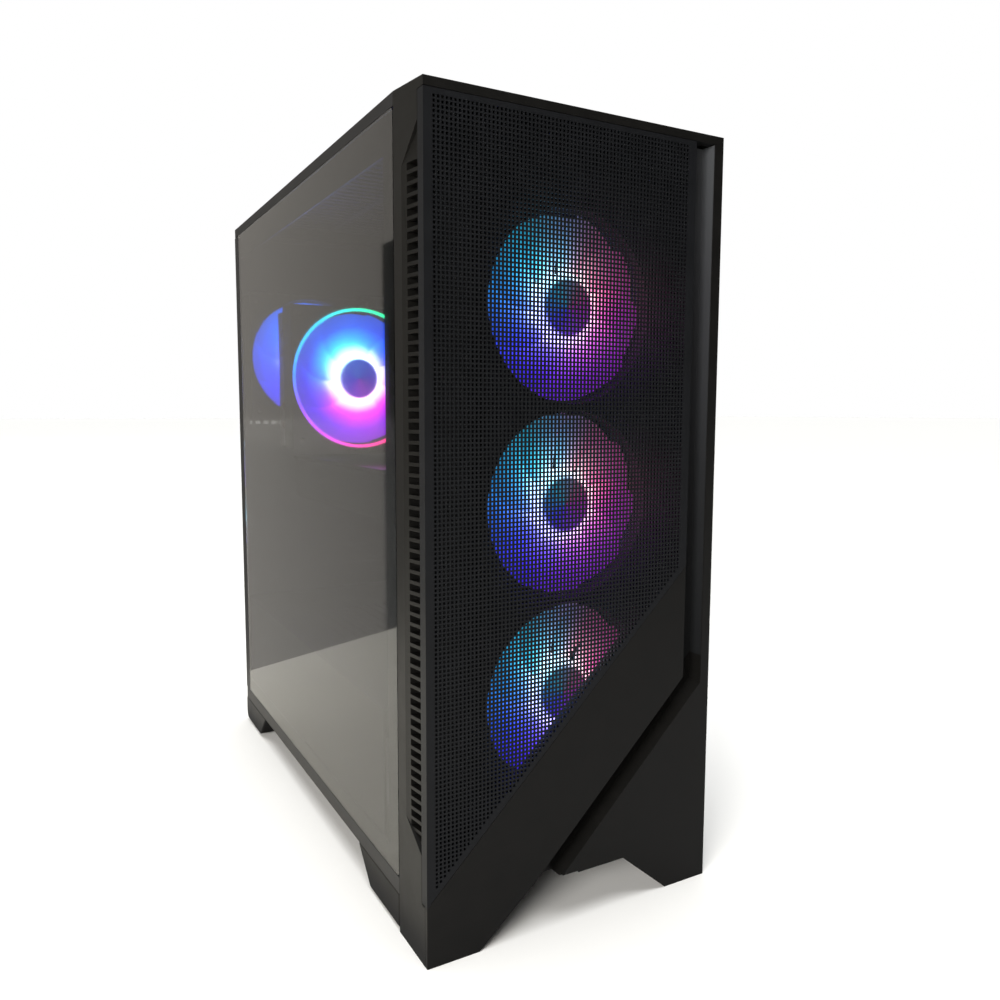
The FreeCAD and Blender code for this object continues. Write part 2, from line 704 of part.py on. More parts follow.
# ---- Power supply and drive ----
def psu_case():
    """Folded steel case, open at the fan, the socket and the switch."""
    half = PSU_WIDTH / 2
    y0, y1 = WALL_IN - GAP - PSU_LENGTH, WALL_IN - GAP
    box = block(PSU_X - half, PSU_X + half, y0, y1, PSU_LOW, PSU_LOW + PSU_HEIGHT)
    room = block(PSU_X - half + 1, PSU_X + half - 1, y0 + 1, y1 - 1, PSU_LOW + 1, PSU_LOW + PSU_HEIGHT - 1)
    box = box.cut(room)
    x, z = psu_socket_place()
    cuts = [rod(PSU_FAN / 2, V(PSU_X, (y0 + y1) / 2, PSU_LOW - 1), V(0, 0, 1), 3)]
    cuts.append(block(x - 13.6, x + 13.6, y1 - 2, y1 + 1, z - 10.1, z + 10.1))
    cuts.append(block(psu_switch_x() - 6.6, psu_switch_x() + 6.6, y1 - 2, y1 + 1, z - 10.1, z + 10.1))
    return box.cut(Part.makeCompound(cuts))


def psu_socket_place():
    """Middle of the mains socket, (x, z)."""
    return PSU_X + 44.0, PSU_LOW + PSU_HEIGHT / 2


def psu_switch_x():
    """Middle of the rocker switch across the tower."""
    return PSU_X + 18.0


def psu_inlet():
    """Three-pin mains socket."""
    x, z = psu_socket_place()
    y1 = WALL_IN - GAP
    body = block(x - 13.4, x + 13.4, y1 - 20, y1 + 0.4, z - 9.9, z + 9.9)
    body = body.cut(block(x - 12, x + 12, y1 - 16, y1 + 1, z - 8.2, z + 8.2))
    pins = [block(x + off - 1, x + off + 1, y1 - 18, y1 - 4, z - 2.5, z + 2.5) for off in (-7.0, 0.0, 7.0)]
    return fused([body] + pins)


def psu_switch():
    """Rocker that turns the mains on and off, with its pivot pins."""
    z = psu_socket_place()[1]
    y = WALL_IN - GAP
    x = psu_switch_x()
    outline = [(y - 6, z - 7.0), (y + 1.6, z - 8.2), (y + 0.2, z), (y - 1.0, z + 8.2), (y - 6, z + 7.0)]
    rocker = plate_x(outline, x - 6.0, x + 6.0)
    return rocker.fuse(rod(1.5, V(x - 8.0, y - 3.0, z), V(1, 0, 0), 16.0))


def psu_grille():
    """Wire rings over the power supply's fan."""
    y = WALL_IN - GAP - PSU_LENGTH / 2
    z = PSU_LOW - 1.2
    rings = []
    for r in (12.0, 24.0, 36.0, 48.0, PSU_FAN / 2 + 1):
        ring = rod(r + 0.8, V(PSU_X, y, z), V(0, 0, 1), 1.2)
        rings.append(ring.cut(rod(r - 0.8, V(PSU_X, y, z - 1), V(0, 0, 1), 4)))
    reach = PSU_FAN / 2 + 1
    rings.append(block(PSU_X - reach, PSU_X + reach, y - 0.8, y + 0.8, z, z + 1.2))
    rings.append(block(PSU_X - 0.8, PSU_X + 0.8, y - reach, y + reach, z, z + 1.2))
    return fused(rings)


def cage_box():
    """Drive cage's sides: x0, x1, y0, y1."""
    x1 = TRAY + SHEET
    y0 = SEAM + DRIVE_FRONT
    return x1 - DRIVE_LENGTH - 6, x1, y0, y0 + DRIVE_WIDTH + 7


def drive_cage():
    """Open steel box that holds two drives."""
    x0, x1, y0, y1 = cage_box()
    z1 = FLOOR + 84
    cage = block(x0, x1, y0, y1, FLOOR, z1)
    return cage.cut(block(x0 - 1, x1 + 1, y0 + SHEET, y1 - SHEET, FLOOR + SHEET, z1 - SHEET))


def hard_drive():
    """Hard drive on the cage's lower shelf."""
    x0 = cage_box()[0]
    middle = (cage_box()[2] + cage_box()[3]) / 2
    z = FLOOR + SHEET + 6
    half = DRIVE_WIDTH / 2
    return block(x0 + 3, x0 + 3 + DRIVE_LENGTH, middle - half, middle + half, z, z + DRIVE_HEIGHT)


def drive_sled():
    """Moulded sled between the drive and the cage."""
    x0, x1, y0, y1 = cage_box()
    z = FLOOR + SHEET
    tray = block(x0 + 1, x1 - 1, y0 + SHEET + 0.2, y1 - SHEET - 0.2, z + 2, z + 6)
    walls = []
    for low, high in ((y0 + SHEET + 0.2, y0 + SHEET + 2), (y1 - SHEET - 2, y1 - SHEET - 0.2)):
        walls.append(block(x0 + 1, x1 - 1, low, high, z + 2, z + 20))
    feet_low = block(x0 + 10, x1 - 10, y0 + 20, y1 - 20, z, z + 2)
    return fused([tray, feet_low] + walls)


# ---- Bezel ----
MESH_RIGHT = RIGHT - BEZEL_WALL - CHANNEL_WIDTH
MESH_TOP = HEIGHT - CAP_DROP - CAP_FRONT
SLANT = math.radians(44.0)
GROOVE = CHANNEL_WIDTH
GROOVE_RIGHT = RIGHT - BEZEL_WALL


def slant_height(x, z_at_left):
    """Height at x of a line that climbs to the right from the left side."""
    return z_at_left + (x - LEFT) * math.tan(SLANT)


BAND_LOW = MESH_LEFT_Z - BAND_WIDTH / math.cos(SLANT)
GROOVE_LOW = BAND_LOW - GROOVE / math.cos(SLANT)


def slant_x(z, z_at_left):
    """Place across at which the same line reaches a height."""
    return LEFT + (z - z_at_left) / math.tan(SLANT)


def front_outline():
    """Bezel seen from the front, with its arch between two feet."""
    half = ARCH_TOP / 2
    foot = WIDTH / 2 - FOOT_WIDTH
    return [(LEFT, 0), (-foot, 0), (-half, ARCH_HEIGHT), (half, ARCH_HEIGHT), (foot, 0), (RIGHT, 0),
            (RIGHT, HEIGHT), (LEFT, HEIGHT)]


def channel_outline():
    """The upright channel and the slanted groove that it turns into."""
    low = ARCH_HEIGHT - 1
    return [(MESH_RIGHT, MESH_TOP), (MESH_RIGHT, slant_height(MESH_RIGHT, BAND_LOW)),
            (slant_x(low, BAND_LOW), low),
            (slant_x(low, GROOVE_LOW), low), (GROOVE_RIGHT, slant_height(GROOVE_RIGHT, GROOVE_LOW)),
            (GROOVE_RIGHT, MESH_TOP)]


def mesh_outline():
    """Mesh and its border."""
    return [(LEFT, MESH_LEFT_Z), (MESH_RIGHT - GAP, slant_height(MESH_RIGHT - GAP, MESH_LEFT_Z)),
            (MESH_RIGHT - GAP, MESH_TOP - GAP), (LEFT, MESH_TOP - GAP)]


def window_outline():
    """Opening behind the mesh."""
    b = MESH_BORDER
    left = LEFT + BEZEL_WALL + 1
    right = MESH_RIGHT - b
    lift = b / math.cos(SLANT)
    return [(left, slant_height(left, MESH_LEFT_Z) + lift), (right, slant_height(right, MESH_LEFT_Z) + lift),
            (right, MESH_TOP - b), (left, MESH_TOP - b)]


def band_outline():
    """Diagonal band with the left foot's face."""
    g = GAP / math.cos(SLANT)
    half = ARCH_TOP / 2
    right = MESH_RIGHT - GAP
    return [(LEFT, 0), (-(WIDTH / 2 - FOOT_WIDTH), 0), (-half, ARCH_HEIGHT),
            (slant_x(ARCH_HEIGHT, BAND_LOW), ARCH_HEIGHT), (right, slant_height(right, BAND_LOW)),
            (right, slant_height(right, MESH_LEFT_Z) - g), (LEFT, MESH_LEFT_Z - g)]


def vent_rows():
    """Heights of the slots in the left side."""
    low = VENT_BOTTOM - VENT_SPREAD
    high = HEIGHT - VENT_TOP_DROP
    count = int((high - low) / VENT_PITCH) + 1
    return [low + VENT_PITCH * i for i in range(count)]


def bezel_frame():
    """Moulded bezel: sides, feet, cap, channel, corner plate and side vents."""
    shell = plate_y(front_outline(), FRONT, SEAM - GAP)
    slope = [(FRONT - 1, HEIGHT - CAP_DROP), (FRONT, HEIGHT - CAP_DROP), (SEAM, HEIGHT), (SEAM, HEIGHT + 1),
             (FRONT - 1, HEIGHT + 1)]
    shell = shell.cut(plate_x(slope, LEFT - 1, RIGHT + 1))
    seat = [(LEFT - 1, -1), (MESH_RIGHT, -1), (MESH_RIGHT, MESH_TOP), (LEFT - 1, MESH_TOP)]
    edge = [(LEFT - 1, MESH_LEFT_Z), (LEFT - 1, -1), (slant_x(-1, BAND_LOW), -1),
            (MESH_RIGHT, slant_height(MESH_RIGHT, BAND_LOW)), (MESH_RIGHT, MESH_TOP), (LEFT - 1, MESH_TOP)]
    left_foot = [(LEFT - 1, -1), (0, -1), (0, ARCH_HEIGHT + 1), (LEFT - 1, ARCH_HEIGHT + 1)]
    front_cut = plate_y(edge, FRONT - 1, FRONT + BAND_SHEET)
    front_cut = front_cut.fuse(plate_y(left_foot, FRONT - 1, FRONT + BAND_SHEET))
    front_cut = front_cut.common(plate_y(seat, FRONT - 1, FRONT + BAND_SHEET))
    side_cut = block(LEFT - 1, LEFT + MESH_SHEET + 0.1, FRONT - 1, FRONT + MESH_FLANGE + GAP,
                     MESH_LEFT_Z, MESH_TOP)
    channel = plate_y(channel_outline(), FRONT - 1, FRONT + CHANNEL_DEPTH)
    inside_left = LEFT + BEZEL_WALL
    inside_right = RIGHT - BEZEL_WALL
    skin = FRONT + BAND_SHEET + MOULD
    room = block(inside_left, inside_right, skin, SEAM, ARCH_HEIGHT + MOULD, HEIGHT - CAP_DROP - MOULD)
    moves = (-MOULD, -MOULD, -MOULD - 1, MOULD + 1, MOULD, MOULD)
    floor = [(x + dx, z) for (x, z), dx in zip(channel_outline(), moves)]
    room = room.cut(plate_y(floor, skin - 1, FRONT + CHANNEL_DEPTH + MOULD))
    window = plate_y(window_outline(), FRONT - 1, skin + 1)
    shell = shell.cut(front_cut).cut(side_cut).cut(channel).cut(room).cut(window)
    y0 = SEAM - VENT_REAR
    y1 = FRONT + MESH_FLANGE
    z0 = VENT_BOTTOM
    z1 = HEIGHT - VENT_TOP_DROP
    steep = y0 - y1
    wedge = plate_z([(LEFT - 1, y0), (LEFT, y0), (LEFT + VENT_RECESS, y1), (LEFT - 1, y1)],
                    z0 - steep, z1 + steep)
    front_low = z0 - steep * VENT_FOOT_SLOPE
    front_high = z1 + steep * VENT_HEAD_SLOPE
    ends = plate_x([(y0, z0), (y1 - 0.01, front_low), (y1 - 0.01, front_high), (y0, z1)],
                   LEFT - 2, inside_left + 2)
    shell = shell.cut(wedge.common(ends))
    slots = []
    for z in vent_rows():
        slots.append(block(LEFT - 1, inside_left + 1, y1 + 1, y1 + 1 + VENT_LENGTH, z - VENT_SLOT / 2,
                           z + VENT_SLOT / 2))
    return shell.cut(Part.makeCompound(slots).common(ends))


def front_mesh():
    """Perforated steel sheet with its left edge folded back."""
    sheet = plate_y(mesh_outline(), FRONT, FRONT + MESH_SHEET)
    fold = block(LEFT, LEFT + MESH_SHEET, FRONT, FRONT + MESH_FLANGE, MESH_LEFT_Z + 2, MESH_TOP - GAP)
    return fused([sheet, fold])


def diagonal_band():
    """Moulded band under the mesh."""
    return plate_y(band_outline(), FRONT, FRONT + BAND_SHEET - 0.05)


# ---- Screws ----
def case_fasteners():
    """Board posts, and the screws of the rear fan and the power supply."""
    screws = standoffs()
    back = V(0, 1, 0)
    for a in (-1, 1):
        for b in (-1, 1):
            x = REAR_FAN_X + a * FAN_HOLES / 2
            z = REAR_FAN_Z + b * FAN_HOLES / 2
            screws.append(rod(3.4, V(x, REAR_FACE, z), back, 1.8))
    for x, z in ((PSU_X - 69, PSU_LOW + 80), (PSU_X + 69, PSU_LOW + 80), (PSU_X - 69, PSU_LOW + 16)):
        screws.append(rod(3.2, V(x, REAR_FACE, z), back, 1.8))
    return Part.makeCompound(screws)


def write_chassis():
    """Chassis, panels and their fittings."""
    save("floor_pan", fused([floor_pan()] + filter_rails()))
    save("chassis_feet", feet())
    save("foot_pads", foot_pads())
    save("front_wall", front_wall())
    save("rear_wall", rear_wall())
    save("motherboard_tray", motherboard_tray())
    save("top_plate", top_plate())
    save("psu_shroud", psu_shroud())
    save("left_frame", left_frame())
    save("right_frame", right_frame())
    save("glass_panel", glass_panel())
    save("glass_flange", glass_flange())
    save("glass_thumbscrews", thumb_heads(LEFT + 6.5))
    save("right_panel", right_panel())
    save("panel_thumbscrews", thumb_heads(RIGHT - 6.5))
    save("top_filter", top_filter())
    save("psu_filter", psu_filter())
    save("io_panel", io_panel())
    save("io_sockets", io_sockets())
    save("power_button", power_button())
    save("reset_button", reset_button())
    save("case_fasteners", case_fasteners())


def write_fans():
    """Five case and cooler fans, each a housing and a rotor."""
    tip = FAN_BORE / 2 - FAN_TIP_GAP
    thick = FAN_DEPTH - 8
    for i, z in enumerate(front_fan_places()):
        place = V(0, SEAM - GAP - FAN_DEPTH, z)
        save("front_fan_frame_%d" % (i + 1), fan_frame("y", place, FAN, FAN_BORE, FAN_DEPTH, FAN_HUB, True))
        save("front_rotor_%d" % (i + 1), rotor("y", place, tip, FAN_HUB, thick, 3.0))
    place = V(REAR_FAN_X, WALL_IN - GAP - FAN_DEPTH, REAR_FAN_Z)
    save("rear_fan_frame", fan_frame("y", place, FAN, FAN_BORE, FAN_DEPTH, FAN_HUB, True))
    save("rear_rotor", rotor("y", place, tip, FAN_HUB, thick, 3.0))
    place = V(COOLER_X, COOLER_FAN_FRONT, COOLER_Z)
    save("cooler_fan_frame", fan_frame("y", place, FAN, FAN_BORE, FAN_DEPTH, FAN_HUB, True))
    save("cooler_rotor", rotor("y", place, tip, FAN_HUB, thick, 3.0))
    for i, y in enumerate(card_fan_places()):
        place = V(card_fan_x(), y, card_box()[3] - CARD_THICK)
        save("graphics_rotor_%d" % (i + 1), rotor("z", place, CARD_FAN / 2 - 1.5, 34.0, 11.0, 1.0))
    place = V(PSU_X, WALL_IN - GAP - PSU_LENGTH / 2, PSU_LOW)
    save("psu_rotor", rotor("z", place, PSU_FAN / 2 - 1.5, 38.0, 16.0, 3.0))


def write_boards():
    """Motherboard, cooler, graphics card, power supply and drive."""
    save("slot_brackets", slot_brackets())
    save("io_shield", io_shield())
    save("rear_ports", rear_ports())
    save("motherboard", motherboard())
    save("board_sockets", board_sockets())
    save("memory_sticks", memory_sticks())
    save("board_heatsinks", board_heatsinks())
    save("m2_drive", m2_drive())
    save("cooler_base", cooler_base())
    save("cooler_pipes", cooler_pipes())
    save("cooler_fins", cooler_fins())
    save("graphics_board", graphics_board())
    save("graphics_backplate", graphics_backplate())
    save("graphics_shroud", graphics_shroud())
    save("graphics_sink", graphics_sink())
    save("psu_case", psu_case())
    save("psu_inlet", psu_inlet())
    save("psu_switch", psu_switch())
    save("psu_grille", psu_grille())
    save("drive_cage", drive_cage())
    save("hard_drive", hard_drive())
    save("drive_sled", drive_sled())


def write_bezel():
    """Front bezel."""
    save("bezel_frame", bezel_frame())
    save("front_mesh", front_mesh())
    save("diagonal_band", diagonal_band())


os.makedirs("parts", exist_ok=True)
write_chassis()
write_fans()
write_boards()
write_bezel()
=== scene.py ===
"""Desktop computer tower: mesh front with three lit fans, glass side, boards and cooler inside."""
import json
import math
import bmesh
import bpy
import mathutils
import numpy as np
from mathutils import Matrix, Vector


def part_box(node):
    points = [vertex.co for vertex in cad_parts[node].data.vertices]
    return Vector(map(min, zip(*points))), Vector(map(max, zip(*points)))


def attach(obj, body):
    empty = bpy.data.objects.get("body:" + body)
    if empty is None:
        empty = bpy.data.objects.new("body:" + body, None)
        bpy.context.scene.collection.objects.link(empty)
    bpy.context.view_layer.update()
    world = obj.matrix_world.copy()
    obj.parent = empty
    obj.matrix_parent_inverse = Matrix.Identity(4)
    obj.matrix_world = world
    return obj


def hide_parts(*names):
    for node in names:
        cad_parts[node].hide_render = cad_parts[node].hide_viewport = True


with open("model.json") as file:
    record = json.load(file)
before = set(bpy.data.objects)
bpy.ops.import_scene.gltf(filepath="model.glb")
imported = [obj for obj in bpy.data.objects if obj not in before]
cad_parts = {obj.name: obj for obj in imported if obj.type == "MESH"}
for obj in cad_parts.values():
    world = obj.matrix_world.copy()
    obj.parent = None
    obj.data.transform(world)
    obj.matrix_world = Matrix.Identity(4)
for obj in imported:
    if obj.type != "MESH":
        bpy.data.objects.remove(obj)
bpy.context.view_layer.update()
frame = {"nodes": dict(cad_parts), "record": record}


# ---- Studio: a pale table, soft light from the left, and the camera ----
# The tower stands near the back edge of a pale matt table in a white room. The lit
# wall is on the glass's side, so the glass mirrors it above the table's edge.
def colour(hexa):
    """An sRGB hex colour, such as "#3a3a3c", as linear red, green, blue and alpha."""
    srgb = np.array([int(hexa[i:i + 2], 16) for i in (1, 3, 5)]) / 255
    linear = np.where(srgb <= 0.04045, srgb / 12.92, ((srgb + 0.055) / 1.055) ** 2.4)
    return (*[float(c) for c in linear], 1.0)


def add(tree, kind, sockets=None, **settings):
    """Add a node with its settings; a socket's value is a number, a colour or another node's output."""
    node = tree.nodes.new(kind)
    for name, value in settings.items():
        setattr(node, name, value)
    for name, value in (sockets or {}).items():
        if isinstance(value, bpy.types.NodeSocket):
            tree.links.new(value, node.inputs[name])
        else:
            node.inputs[name].default_value = value
    return node


def paint_ramp(ramp, stops):
    """Set a colour ramp's stops from (place, hex colour) pairs."""
    while len(ramp.elements) < len(stops):
        ramp.elements.new(0.5)
    for element, (place, hexa) in zip(ramp.elements, stops):
        element.position = place
        element.color = colour(hexa)


def light_room():
    """White to the eye; as a light, bright on the left and behind, dim in front and on the right."""
    world = bpy.data.worlds.new("room")
    world.use_nodes = True
    tree = world.node_tree
    tree.nodes.clear()
    place = add(tree, "ShaderNodeTexCoord")
    bright_side = (-0.93, 0.2, 0.3)
    toward = add(tree, "ShaderNodeVectorMath", {0: place.outputs["Generated"], 1: bright_side},
                 operation="DOT_PRODUCT")
    ramp = add(tree, "ShaderNodeValToRGB", {"Fac": toward.outputs["Value"]})
    paint_ramp(ramp.color_ramp,
               [(0.0, "#28292b"), (0.35, "#363738"), (0.75, "#42423f"), (1.0, "#8a8780")])
    lit = add(tree, "ShaderNodeBackground", {"Color": ramp.outputs["Color"], "Strength": 1.0})
    seen = add(tree, "ShaderNodeBackground", {"Color": colour("#ffffff"), "Strength": 1.0})
    ray = add(tree, "ShaderNodeLightPath")
    both = add(tree, "ShaderNodeMixShader",
               {0: ray.outputs["Is Camera Ray"], 1: lit.outputs[0], 2: seen.outputs[0]})
    add(tree, "ShaderNodeOutputWorld", {"Surface": both.outputs[0]})
    bpy.context.scene.world = world


def soft_light(name, place, target, width, height, power, tint):
    """A rectangular lamp that faces a point."""
    lamp = bpy.data.lights.new(name, "AREA")
    lamp.shape = "RECTANGLE"
    lamp.size = width
    lamp.size_y = height
    lamp.energy = power
    lamp.color = tint
    holder = bpy.data.objects.new(name, lamp)
    bpy.context.scene.collection.objects.link(holder)
    aim = mathutils.Vector(target) - mathutils.Vector(place)
    holder.location = place
    holder.rotation_euler = aim.to_track_quat("-Z", "Y").to_euler()
    return holder


def ceiling_light(strength, spread_deg):
    """Wide light from straight above, which whitens the table and grazes the upright faces."""
    lamp = bpy.data.lights.new("ceiling", "SUN")
    lamp.energy = strength
    lamp.angle = math.radians(spread_deg)
    bpy.context.scene.collection.objects.link(bpy.data.objects.new("ceiling", lamp))


def lay_sheet(name, outline, height, seen, mirrored):
    """A flat pale sheet; seen is its colour to the eye and mirrored what it lends to other surfaces."""
    mesh = bpy.data.meshes.new(name)
    mesh.from_pydata([(x, y, height) for x, y in outline], [], [tuple(range(len(outline)))])
    sheet = bpy.data.objects.new(name, mesh)
    bpy.context.scene.collection.objects.link(sheet)
    paint = bpy.data.materials.new(name + " matt white")
    paint.use_nodes = True
    tree = paint.node_tree
    surface = tree.nodes["Principled BSDF"]
    ray = add(tree, "ShaderNodeLightPath")
    tint = add(tree, "ShaderNodeMix",
               {0: ray.outputs["Is Camera Ray"], 6: colour(mirrored), 7: colour(seen)}, data_type="RGBA")
    tree.links.new(tint.outputs[2], surface.inputs["Base Color"])
    surface.inputs["Roughness"].default_value = 0.8
    surface.inputs["Specular IOR Level"].default_value = 0.15
    mesh.materials.append(paint)
    return sheet


def place_camera(place, down_deg, right_deg, focal_mm, shift):
    """A camera on a 36 mm wide sensor, tilted down and turned to the right of +Y."""
    lens = bpy.data.cameras.new("camera")
    lens.sensor_width = 36.0
    lens.lens = focal_mm
    lens.shift_x, lens.shift_y = shift
    lens.clip_start = 0.01
    camera = bpy.data.objects.new("camera", lens)
    bpy.context.scene.collection.objects.link(camera)
    camera.location = place
    camera.rotation_euler = (math.radians(90 - down_deg), 0, math.radians(-right_deg))
    bpy.context.scene.camera = camera


light_room()
# Low and to the left of the front, at the height of the upper fans.
place_camera((-0.2910, -0.6189, 0.3180), 5.609, 28.157, 29.5, (0.0301, -0.008))
# The table's back edge slants away on the left; its left part is the warmer in the glass.
TABLE_SIDE, TABLE_BACK, TABLE_CORNER, REACH, FLOOR_REACH = -0.12, 0.366, 1.6, 3, 40
MATT_WHITE = "#f4f4f2"
lay_sheet("table_left", [(-REACH, -REACH), (TABLE_SIDE, -REACH), (TABLE_SIDE, TABLE_BACK),
                         (-REACH, TABLE_CORNER)], 0.0, MATT_WHITE, "#d8d5cb")
lay_sheet("table_right", [(TABLE_SIDE, -REACH), (REACH, -REACH), (REACH, TABLE_BACK),
                          (TABLE_SIDE, TABLE_BACK)], 0.0, MATT_WHITE, "#8c8c8c")
floor = lay_sheet("floor", [(-FLOOR_REACH, -FLOOR_REACH), (FLOOR_REACH, -FLOOR_REACH),
                            (FLOOR_REACH, FLOOR_REACH), (-FLOOR_REACH, FLOOR_REACH)],
                  -0.0001, MATT_WHITE, "#b4b4b1")
floor.visible_glossy = False
# Two lamps stand for the lit wall that the glass mirrors; a window lights the front's side.
WALL_TINT, WINDOW_TINT = (1.0, 0.93, 0.84), (1.0, 0.97, 0.93)
ceiling_light(3.5, 50)
soft_light("far_wall", (-2.0, 6.98, 0.0), (0.0, 6.98, 0.0), 5.0, 6.4, 42.0, WALL_TINT)
soft_light("far_wall_upper", (-2.0, 3.9, 2.4), (0.0, 3.9, 2.4), 1.16, 2.0, 3.0, WALL_TINT)
window = soft_light("left_window", (-2.4, -1.7, 0.9), (0.0, 0.0, 0.25), 1.2, 1.2, 120.0, WINDOW_TINT)
window.visible_glossy = False
bpy.context.scene.view_settings.view_transform = "Standard"


# ---- Steel chassis ----
# Folded 1.2 mm steel sheet: floor pan, rear wall, tray, top and the borders that the side
# panels close on, riveted together and powder-coated black.
MM = 0.001


def new_material(name):
    """An empty node material and its tree, with a Principled surface wired to the output."""
    made = bpy.data.materials.new(name)
    made.use_nodes = True
    tree = made.node_tree
    return made, tree, tree.nodes["Principled BSDF"]


def set_surface(surface, **values):
    """Set a Principled surface's own sockets; underscores stand for spaces."""
    for name, value in values.items():
        surface.inputs[name.replace("_", " ")].default_value = value


def clouded(tree, surface, cloud, dark, light, rough, spread):
    """Colour between two hexes and roughness within rough plus or minus spread, both after a cloud."""
    tint = add(tree, "ShaderNodeMix", {0: cloud, 6: colour(dark), 7: colour(light)}, data_type="RGBA")
    tree.links.new(tint.outputs[2], surface.inputs["Base Color"])
    gloss = add(tree, "ShaderNodeMapRange",
                {"Value": cloud, "To Min": rough - spread, "To Max": rough + spread})
    tree.links.new(gloss.outputs["Result"], surface.inputs["Roughness"])


def grained(name, dark, light, grain_mm, bump_mm, rough, **values):
    """A coat with a fine grain in relief, and patches 25 grains wide in colour and roughness."""
    made, tree, surface = new_material(name)
    place = add(tree, "ShaderNodeTexCoord").outputs["Object"]
    grain = grain_mm * MM
    patch = 25 * grain
    fine = add(tree, "ShaderNodeTexNoise", {"Vector": place, "Scale": 1 / grain, "Detail": 2.0})
    cloud = add(tree, "ShaderNodeTexNoise", {"Vector": place, "Scale": 1 / patch, "Detail": 3.0})
    clouded(tree, surface, cloud.outputs["Fac"], dark, light, rough, 0.06)
    relief = add(tree, "ShaderNodeBump",
                 {"Height": fine.outputs["Fac"], "Distance": bump_mm * MM, "Strength": 0.6})
    tree.links.new(relief.outputs["Normal"], surface.inputs["Normal"])
    set_surface(surface, **values)
    return made


def body_of(node):
    """The name of the body that a CAD node rides on."""
    return next(name for name, held in frame["record"]["behaviour"]["bodies"].items() if node in held)


def slot_of(node):
    """The record's material slot of a CAD node."""
    return next(s["material_slot"] for s in frame["record"]["subparts"] if s["node"] == node)


def coat(material, *nodes):
    """Give CAD nodes a material."""
    for node in nodes:
        data = frame["nodes"][node].data
        data.materials.clear()
        data.materials.append(material)


def piece(name, mesh, material, body, slot, *replaced):
    """Put a finished mesh in the scene as a piece that rides on a body."""
    mesh.materials.clear()
    mesh.materials.append(material)
    made = bpy.data.objects.new(name, mesh)
    bpy.context.scene.collection.objects.link(made)
    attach(made, body)
    if replaced:
        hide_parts(*replaced)
    return made


def round_edges(work, width_mm, turn_deg):
    """Each edge that turns by more than an angle becomes a round of two facets."""
    sharp = [e for e in work.edges
             if len(e.link_faces) == 2 and e.calc_face_angle(0) > math.radians(turn_deg)]
    bmesh.ops.bevel(work, geom=sharp, offset=width_mm * MM, segments=2, profile=0.5, affect="EDGES",
                    clamp_overlap=True)


def softened(node, width_mm, material):
    """Stand-in for a CAD node with its edges rounded.

    The copy's loose triangles are merged and flat neighbours are joined before the rounding.
    """
    mesh = frame["nodes"][node].data.copy()
    work = bmesh.new()
    work.from_mesh(mesh)
    bmesh.ops.remove_doubles(work, verts=work.verts, dist=0.01 * MM)
    bmesh.ops.dissolve_limit(work, angle_limit=math.radians(1.0), verts=work.verts, edges=work.edges)
    round_edges(work, width_mm, 35)
    work.to_mesh(mesh)
    work.free()
    mesh.name = node + "_soft"
    return piece(node + "_soft", mesh, material, body_of(node), slot_of(node), node)


# Satin, with a fine orange peel of about a millimetre.
powder_coat = grained("satin black powder coat on steel", "#19191a", "#232324", 0.9, 0.05, 0.46)
coat(powder_coat, "front_wall", "motherboard_tray", "left_frame", "right_frame", "drive_cage", "psu_shroud",
     "glass_flange", "psu_case", "rear_wall", "slot_brackets")
for node in ("floor_pan", "top_plate", "right_panel"):
    softened(node, 0.5, powder_coat)


# ---- Feet and pads ----
# Moulded ABS feet are screwed to the floor pan; black rubber pads are glued under them.
# Both take the grain of their moulds.
# A spark-eroded grain of half a millimetre leaves a dull, even black.
moulded_abs = grained("spark-grained black ABS", "#0f0f0e", "#171615", 0.5, 0.05, 0.42,
                      Specular_IOR_Level=0.3)
# Rubber has no gloss at all.
rubber = grained("matt black rubber", "#0e0e0e", "#161616", 0.4, 0.04, 0.8)
softened("chassis_feet", 1.2, moulded_abs)
softened("foot_pads", 0.4, rubber)


# ---- Bezel ----
# One moulding makes the front's sides, cap, channel, corner plate and slotted side
# vent; the diagonal band under the mesh clips on. Both are spark-grained black ABS.
softened("bezel_frame", 0.45, moulded_abs)
softened("diagonal_band", 0.6, moulded_abs)


def channel_strip():
    """L-shaped lining of the channel's floor and outer wall.

    The L lies in X and Y and runs up Z from a foot that climbs at the band's slope.
    """
    wall_mm, width_mm, depth_mm, cap_mm, setback_mm, thick = 7.02, 14.6, 10.98, 9.9, 0.5, 0.4 * MM
    foot_height, foot_deg = 0.142, 44
    bezel_low, bezel_high = (np.array(c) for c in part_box("bezel_frame"))
    right = bezel_high[0] - wall_mm * MM
    left = right - width_mm * MM
    back = bezel_low[1] + depth_mm * MM
    front = bezel_low[1] + setback_mm * MM
    outline = np.array([(left, back - thick), (right - thick, back - thick), (right - thick, front),
                        (right, front), (right, back), (left, back)])
    foot = foot_height + (outline[:, :1] - left) * math.tan(math.radians(foot_deg))
    top = np.full_like(foot, bezel_high[2] - cap_mm * MM)
    rings = np.concatenate([np.concatenate([outline, level], 1) for level in (foot, top)])
    around = [(i, (i + 1) % 6, (i + 1) % 6 + 6, i + 6) for i in range(6)]
    return rings, around, [tuple(range(5, -1, -1)), tuple(range(6, 12))]


